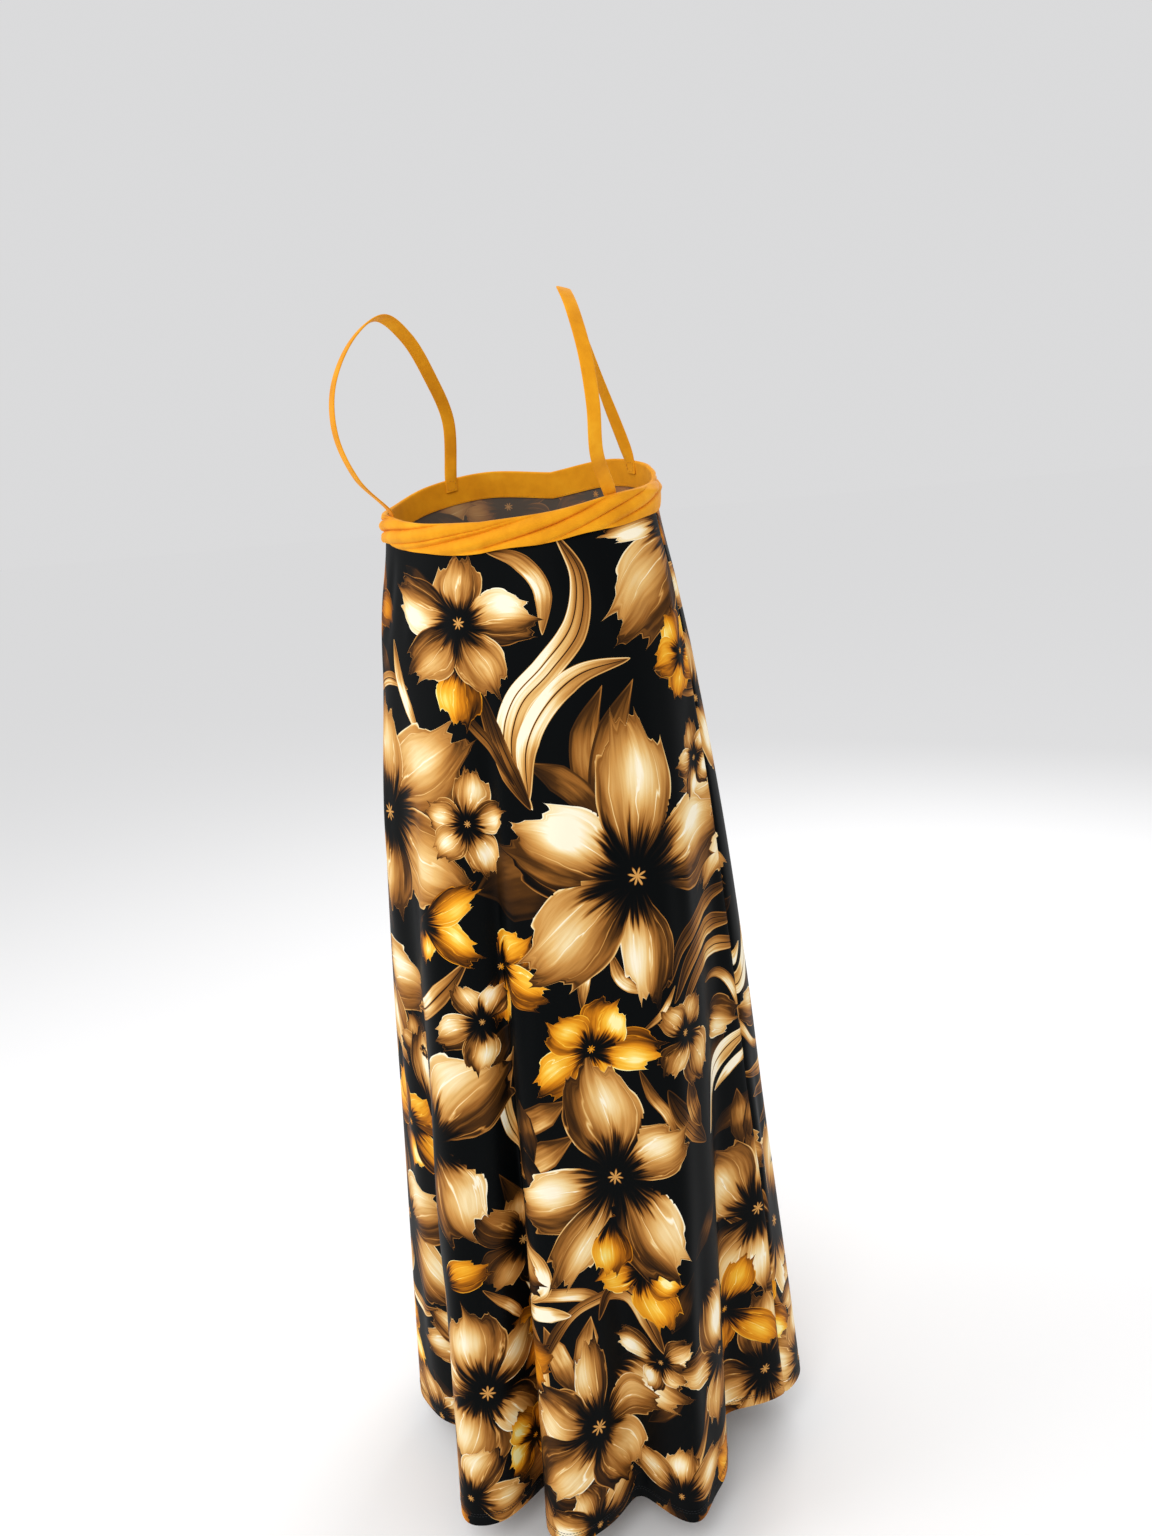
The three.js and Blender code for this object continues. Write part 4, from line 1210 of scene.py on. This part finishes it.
def printedKnit(name, faded):
    # smooth polyester jersey with a dye print: soft low sheen, colours flat in the cloth, a fine knit rib
    # on the reverse the print shows through, greyer and paler
    # the loops are 0.6 mm apart; they are drawn coarser, so that they show
    material, tree = newMaterial(name)
    place = addNode(tree, "CombineXYZ", {0: 0.0, 1: 0.0, 2: 0.0})
    tag = addNode(tree, "CombineXYZ", {0: 0.0, 1: 0.0, 2: 0.0})
    for kind, count in (("strand", strandLayers), ("petal", petalLayers)):
        for number in range(count):
            layer = addNode(tree, "Attribute", attribute_name=kind + str(number + 1))
            step = addNode(tree, "Group", node_tree=bpy.data.node_groups[kind + " layer"])
            for target, source in (("Place", place.outputs[0]), ("Dye", tag.outputs[-1]),
                                   ("Layer", layer.outputs["Color"]), ("Seed", layer.outputs["Alpha"])):
                tree.links.new(source, step.inputs[target])
            place = tag = step
    looks = []
    for group in ("petal look", "strand look"):
        look = addNode(tree, "Group", node_tree=bpy.data.node_groups[group])
        tree.links.new(place.outputs["Place"], look.inputs["Place"])
        tree.links.new(tag.outputs["Dye"], look.inputs["Dye"])
        looks.append(look)
    kind = addNode(tree, "SeparateXYZ", {0: tag.outputs["Dye"]}).outputs
    isStrand = addNode(tree, "Math", {0: kind[2], 1: 1.5}, operation="GREATER_THAN")
    isShown = addNode(tree, "Math", {0: kind[2], 1: 0.5}, operation="GREATER_THAN")
    light = addNode(tree, "Mix", {0: isStrand, 2: looks[0], 3: looks[1]}, data_type="FLOAT")
    light = addNode(tree, "Math", {0: light, 1: isShown}, operation="MULTIPLY", use_clamp=True)
    heart = addNode(tree, "Attribute", attribute_name="heart")
    centre = addNode(tree, "Group", node_tree=bpy.data.node_groups["heart"])
    for target, source in (("Light", light.outputs[0]), ("Heart", heart.outputs["Color"]),
                           ("Seed", heart.outputs["Alpha"])):
        tree.links.new(source, centre.inputs[target])
    tan = setRamp(addNode(tree, "ValToRGB", {0: centre}), printedJersey["tan"])
    mustard = setRamp(addNode(tree, "ValToRGB", {0: centre}), printedJersey["mustard"])
    notStrand = addNode(tree, "Math", {0: 1.0, 1: isStrand}, operation="SUBTRACT")
    isMustard = addNode(tree, "Math", {0: kind[0], 1: notStrand}, operation="MULTIPLY")
    colour = addNode(tree, "Mix", {0: isMustard, 6: tan, 7: mustard}, data_type="RGBA")
    colour = addNode(tree, "Mix", {0: faded, 6: colour.outputs[2], 7: linear(printedJersey["undyed"])},
                     data_type="RGBA")
    knit = addNode(tree, "TexCoord")
    rib = addNode(tree, "TexNoise", {"Vector": knit.outputs["Object"],
                                     "Scale": perMetre(printedJersey["ribSpacing"]), "Detail": 1.0})
    bump = addNode(tree, "Bump", {"Height": rib, "Strength": printedJersey["ribStrength"],
                                  "Distance": printedJersey["ribDepth"] * mm})
    shader = addNode(tree, "BsdfPrincipled", {
        "Base Color": colour.outputs[2], "Roughness": printedJersey["roughness"],
        "Sheen Weight": printedJersey["sheen"], "Sheen Roughness": printedJersey["sheenRoughness"],
        "Specular IOR Level": printedJersey["specular"], "Normal": bump})
    addNode(tree, "OutputMaterial", {"Surface": shader})
    return material


plainJersey = {           # spacings and depth in mm
    "shades": [(0.3, "#d98b07"), (0.45, "#e6970b"), (0.58, "#efa111"), (0.72, "#f5ad1e")],
    "cloudSpacing": 38.5,
    "ribSpacing": 3.03,
    "creaseSpacing": 14.3,
    "creaseShare": 6.0,
    "bumpStrength": 0.1,
    "bumpDepth": 0.4,
    "roughness": 0.72,
    "sheen": 0.05,
    "sheenRoughness": 0.5,
    "specular": 0.16,
}


def mustardJersey():
    # plain mustard viscose jersey: matt, clouded a little where it is rubbed, a fine rib and small creases
    # its loops are 0.7 mm apart; they are drawn coarser, so that they show
    material, tree = newMaterial("mustard viscose jersey")
    place = addNode(tree, "TexCoord").outputs["Object"]
    cloud = addNode(tree, "TexNoise", {"Vector": place, "Scale": perMetre(plainJersey["cloudSpacing"]),
                                       "Detail": 4.0, "Roughness": 0.6})
    colour = setRamp(addNode(tree, "ValToRGB", {0: cloud}), plainJersey["shades"])
    rib = addNode(tree, "TexNoise", {"Vector": place, "Scale": perMetre(plainJersey["ribSpacing"]),
                                     "Detail": 0.0})
    crease = addNode(tree, "TexNoise", {"Vector": place, "Scale": perMetre(plainJersey["creaseSpacing"]),
                                        "Detail": 1.0, "Distortion": 0.8})
    height = addNode(tree, "Math", {0: crease, 1: plainJersey["creaseShare"], 2: rib},
                     operation="MULTIPLY_ADD")
    bump = addNode(tree, "Bump", {"Height": height, "Strength": plainJersey["bumpStrength"],
                                  "Distance": plainJersey["bumpDepth"] * mm})
    shader = addNode(tree, "BsdfPrincipled", {
        "Base Color": colour, "Roughness": plainJersey["roughness"], "Sheen Weight": plainJersey["sheen"],
        "Sheen Roughness": plainJersey["sheenRoughness"], "Specular IOR Level": plainJersey["specular"],
        "Normal": bump})
    addNode(tree, "OutputMaterial", {"Surface": shader})
    return material


thread = {                # spacing and depth in mm
    "plySpacing": 0.71,
    "plyStrength": 0.3,
    "plyDepth": 0.2,
    "roughness": 0.6,
    "specular": 0.3,
    "black": ("#08090b", "#24262a"),
    "mustard": ("#b97509", "#f2a92a"),
}


def sewingThread(name, dark, pale):
    # spun polyester thread: matt, two plies wound together that show as light and dark flecks 0.7 mm apart
    material, tree = newMaterial(name)
    place = addNode(tree, "TexCoord").outputs["Object"]
    ply = addNode(tree, "TexNoise", {"Vector": place, "Scale": perMetre(thread["plySpacing"]), "Detail": 1.0})
    colour = setRamp(addNode(tree, "ValToRGB", {0: ply}), [(0.35, dark), (0.65, pale)])
    bump = addNode(tree, "Bump", {"Height": ply, "Strength": thread["plyStrength"],
                                  "Distance": thread["plyDepth"] * mm})
    shader = addNode(tree, "BsdfPrincipled", {"Base Color": colour, "Roughness": thread["roughness"],
                                              "Specular IOR Level": thread["specular"], "Normal": bump})
    addNode(tree, "OutputMaterial", {"Surface": shader})
    return material


stitch = {
    "length": 3.0,
    "pitch": 3.8,
    "thread": 0.3,       # half the thread's thickness
    "sides": 6,
    "hemRows": (12, 15),  # the twin needle's rows, this far above the hem
    "boxSide": 10.5,     # square that holds a strap's end
    "hemClear": 3,       # points of the hem's line left out at each side seam
    "shape": [           # one stitch: place along it, share of the thickness, height in mm
        (0, 0.35, -0.2), (0.12, 0.9, 0.12), (0.5, 1, 0.2), (0.88, 0.9, 0.12), (1, 0.35, -0.2),
    ],
}


def stitchRow(points, normals):
    # small joined stitches along a line on the cloth, as rings of points
    length = np.concatenate([[0], np.cumsum(np.linalg.norm(np.diff(points, axis=0), axis=1))])
    spare = (length[-1] - stitch["length"]) % stitch["pitch"]
    starts = np.arange(spare / 2, length[-1] - stitch["length"] + 0.01, stitch["pitch"])
    ways, radii, lifts = np.array(stitch["shape"]).T
    places = starts[:, None] + ways * stitch["length"]
    radii = radii * stitch["thread"]
    middle = np.stack([np.interp(places, length, points[:, axis]) for axis in range(3)], -1)
    normal = np.stack([np.interp(places, length, normals[:, axis]) for axis in range(3)], -1)
    normal /= np.linalg.norm(normal, axis=-1, keepdims=True)
    along = (middle[:, -1] - middle[:, 0])[:, None]
    along = along / np.linalg.norm(along, axis=-1, keepdims=True)
    side = np.cross(normal, along)
    middle = middle + normal * lifts[None, :, None]
    ring = np.arange(stitch["sides"]) * math.tau / stitch["sides"]
    around = side[:, :, None] * np.cos(ring)[:, None] + normal[:, :, None] * np.sin(ring)[:, None]
    return middle[:, :, None] + around * radii[:, None, None]


def addStitches(name, rows, material):
    rings = np.concatenate([stitchRow(points, normals) for points, normals in rows])
    count, steps, sides = rings.shape[:3]
    tube = gridFaces(steps, sides, True)[:, ::-1]
    last = (steps - 1) * sides
    # two quads close each end's six points
    caps = np.array([[3, 2, 1, 0], [5, 4, 3, 0], [last, last + 1, last + 2, last + 3],
                     [last, last + 3, last + 4, last + 5]])
    one = np.concatenate([tube, caps])
    faces = (one[None] + np.arange(count)[:, None, None] * steps * sides).reshape(-1, 4)
    piece = addMesh(name, rings, faces, 80)
    piece.data.materials.append(material)
    return piece


def hemLine(middle, above):
    # a line on the outer face this far above the hem, clear of the side seams
    turn = evenTurns(middle, panel["columns"] * 2)[stitch["hemClear"]:-stitch["hemClear"]]
    drop = hemEdge(turn) - above
    return clothPoint(turn, drop, True), clothNormal(turn, drop, True)


def addPrint(piece, across, drop, turned):
    mesh = piece.data
    corners = np.zeros(len(mesh.loops), np.int32)
    mesh.loops.foreach_get("vertex_index", corners)
    corners = corners.reshape(-1, 4)
    for name, values in layPrint(across[corners], drop[corners], turned).items():
        mesh.attributes.new(name, "FLOAT_COLOR", "CORNER").data.foreach_set("color", values.ravel())


petalLayerGroup()
strandLayerGroup()
petalLookGroup()
strandLookGroup()
heartGroup()
face = printedKnit("printed polyester jersey", 0)
reverse = printedKnit("reverse of the printed jersey", printedJersey["reverseFade"])
sideTurns = {"back": 0, "front": 180}
panels = {}
for side, middle in sideTurns.items():
    panels[side], across, drop = addPanel(side + "_panel_cloth", middle)
    addPrint(panels[side], np.tile(across, 2), np.tile(drop, 2), side == "front")
    panels[side].data.materials[0] = face
    panels[side].data.materials[1] = reverse
print("printed panels made")
mustard = mustardJersey()
blackThread = sewingThread("black spun polyester thread", *thread["black"])
mustardThread = sewingThread("mustard spun polyester thread", *thread["mustard"])
bands, straps, stitches = {}, {}, {}
for side, middle in sideTurns.items():
    bands[side], footRow = addBand(side + "_band_cloth", middle)
    hemRows = [hemLine(middle, above) for above in stitch["hemRows"]]
    stitches[side + " hem"] = addStitches(side + "_hem_stitches", hemRows, blackThread)
    stitches[side + " band"] = addStitches(side + "_band_stitches", [footRow], mustardThread)
for side, way in (("left", 1), ("right", -1)):
    straps[side], strapLength, boxes = addStrap(side + "_strap_cloth", way)
    stitches[side] = addStitches(side + "_strap_stitches", boxes, mustardThread)
for piece in (*bands.values(), *straps.values()):
    piece.data.materials.append(mustard)
print("bands, straps and stitches made; strap length", round(strapLength, 1))

camera = {                # mm and degrees, from the middle of the dress
    "distance": 1388.18,
    "height": -190.63,
    "pitch": 13.662,
    "roll": -5.813,
    "azimuth": 201.395,
    "aim": 199.915,
    "lens": 27.47,
    "sensor": 36,
}


def addCamera():
    azimuth, aim, pitch, roll = (math.radians(camera[key]) for key in ("azimuth", "aim", "pitch", "roll"))
    place = Vector((math.sin(azimuth) * camera["distance"],
                    -math.cos(azimuth) * camera["distance"] - dress["shoulderBack"], camera["height"])) * mm
    forward = Vector((-math.sin(aim) * math.cos(pitch), math.cos(aim) * math.cos(pitch), -math.sin(pitch)))
    level = forward.cross(Vector((0, 0, 1))).normalized()
    high = level.cross(forward)
    right = level * math.cos(roll) + high * math.sin(roll)
    up = high * math.cos(roll) - level * math.sin(roll)
    data = bpy.data.cameras.new("camera")
    data.lens = camera["lens"]
    data.sensor_width = camera["sensor"]
    view = bpy.data.objects.new("camera", data)
    view.matrix_world = Matrix.Translation(place) @ Matrix((right, up, -forward)).transposed().to_4x4()
    bpy.context.scene.collection.objects.link(view)
    bpy.context.scene.camera = view


studio = {                # places and sizes in metres, power in watts
    "lights": [
        ("key", (-0.3, 2.0, 1.3), (0, 0, -0.5), 1.5, 22),
        ("fill", (2.0, 1.0, 0.7), (0, 0, -0.5), 1.8, 20),
        ("front", (-0.6, -2.4, 0.9), (0, 0, -0.7), 1.8, 30),
    ],
    "air": "#f4f4f5",
    "airStrength": 0.78,
    "paper": "#fefefe",
    "floorHeight": -1.455,
    "floorReach": 40,
}


def addLight(name, place, aim, size, power):
    data = bpy.data.lights.new(name, "AREA")
    data.shape = "DISK"
    data.size = size
    data.energy = power
    lamp = bpy.data.objects.new(name, data)
    lamp.location = place
    lamp.rotation_euler = (Vector(aim) - Vector(place)).to_track_quat("-Z", "Y").to_euler()
    bpy.context.scene.collection.objects.link(lamp)


def addWorld():
    world = bpy.data.worlds.new("studio")
    bpy.context.scene.world = world
    world.use_nodes = True
    air = world.node_tree.nodes["Background"].inputs
    air["Color"].default_value = linear(studio["air"])
    air["Strength"].default_value = studio["airStrength"]


def addFloor():
    # wide sheet of matt studio paper below the hem
    mesh = bpy.data.meshes.new("floor")
    reach = studio["floorReach"]
    mesh.from_pydata([(x * reach, y * reach, studio["floorHeight"])
                      for x, y in ((-1, -1), (1, -1), (1, 1), (-1, 1))], [], [(0, 1, 2, 3)])
    floor = bpy.data.objects.new("floor", mesh)
    bpy.context.scene.collection.objects.link(floor)
    paper, tree = newMaterial("matt studio paper")
    shader = addNode(tree, "BsdfPrincipled", {"Base Color": linear(studio["paper"]), "Roughness": 1.0,
                                              "Specular IOR Level": 0.0})
    addNode(tree, "OutputMaterial", {"Surface": shader})
    mesh.materials.append(paper)


bpy.context.scene.view_settings.view_transform = "Standard"
addCamera()
for light in studio["lights"]:
    addLight(*light)
addWorld()
addFloor()
print("camera, lights and floor set")

for side in ("back", "front"):
    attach(panels[side], "root")
    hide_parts(side + "_panel")
    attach(bands[side], "root")
    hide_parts(side + "_band")
for side in ("left", "right"):
    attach(straps[side], "root")
    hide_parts("strap_" + side)
for name, piece in stitches.items():
    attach(piece, "root")
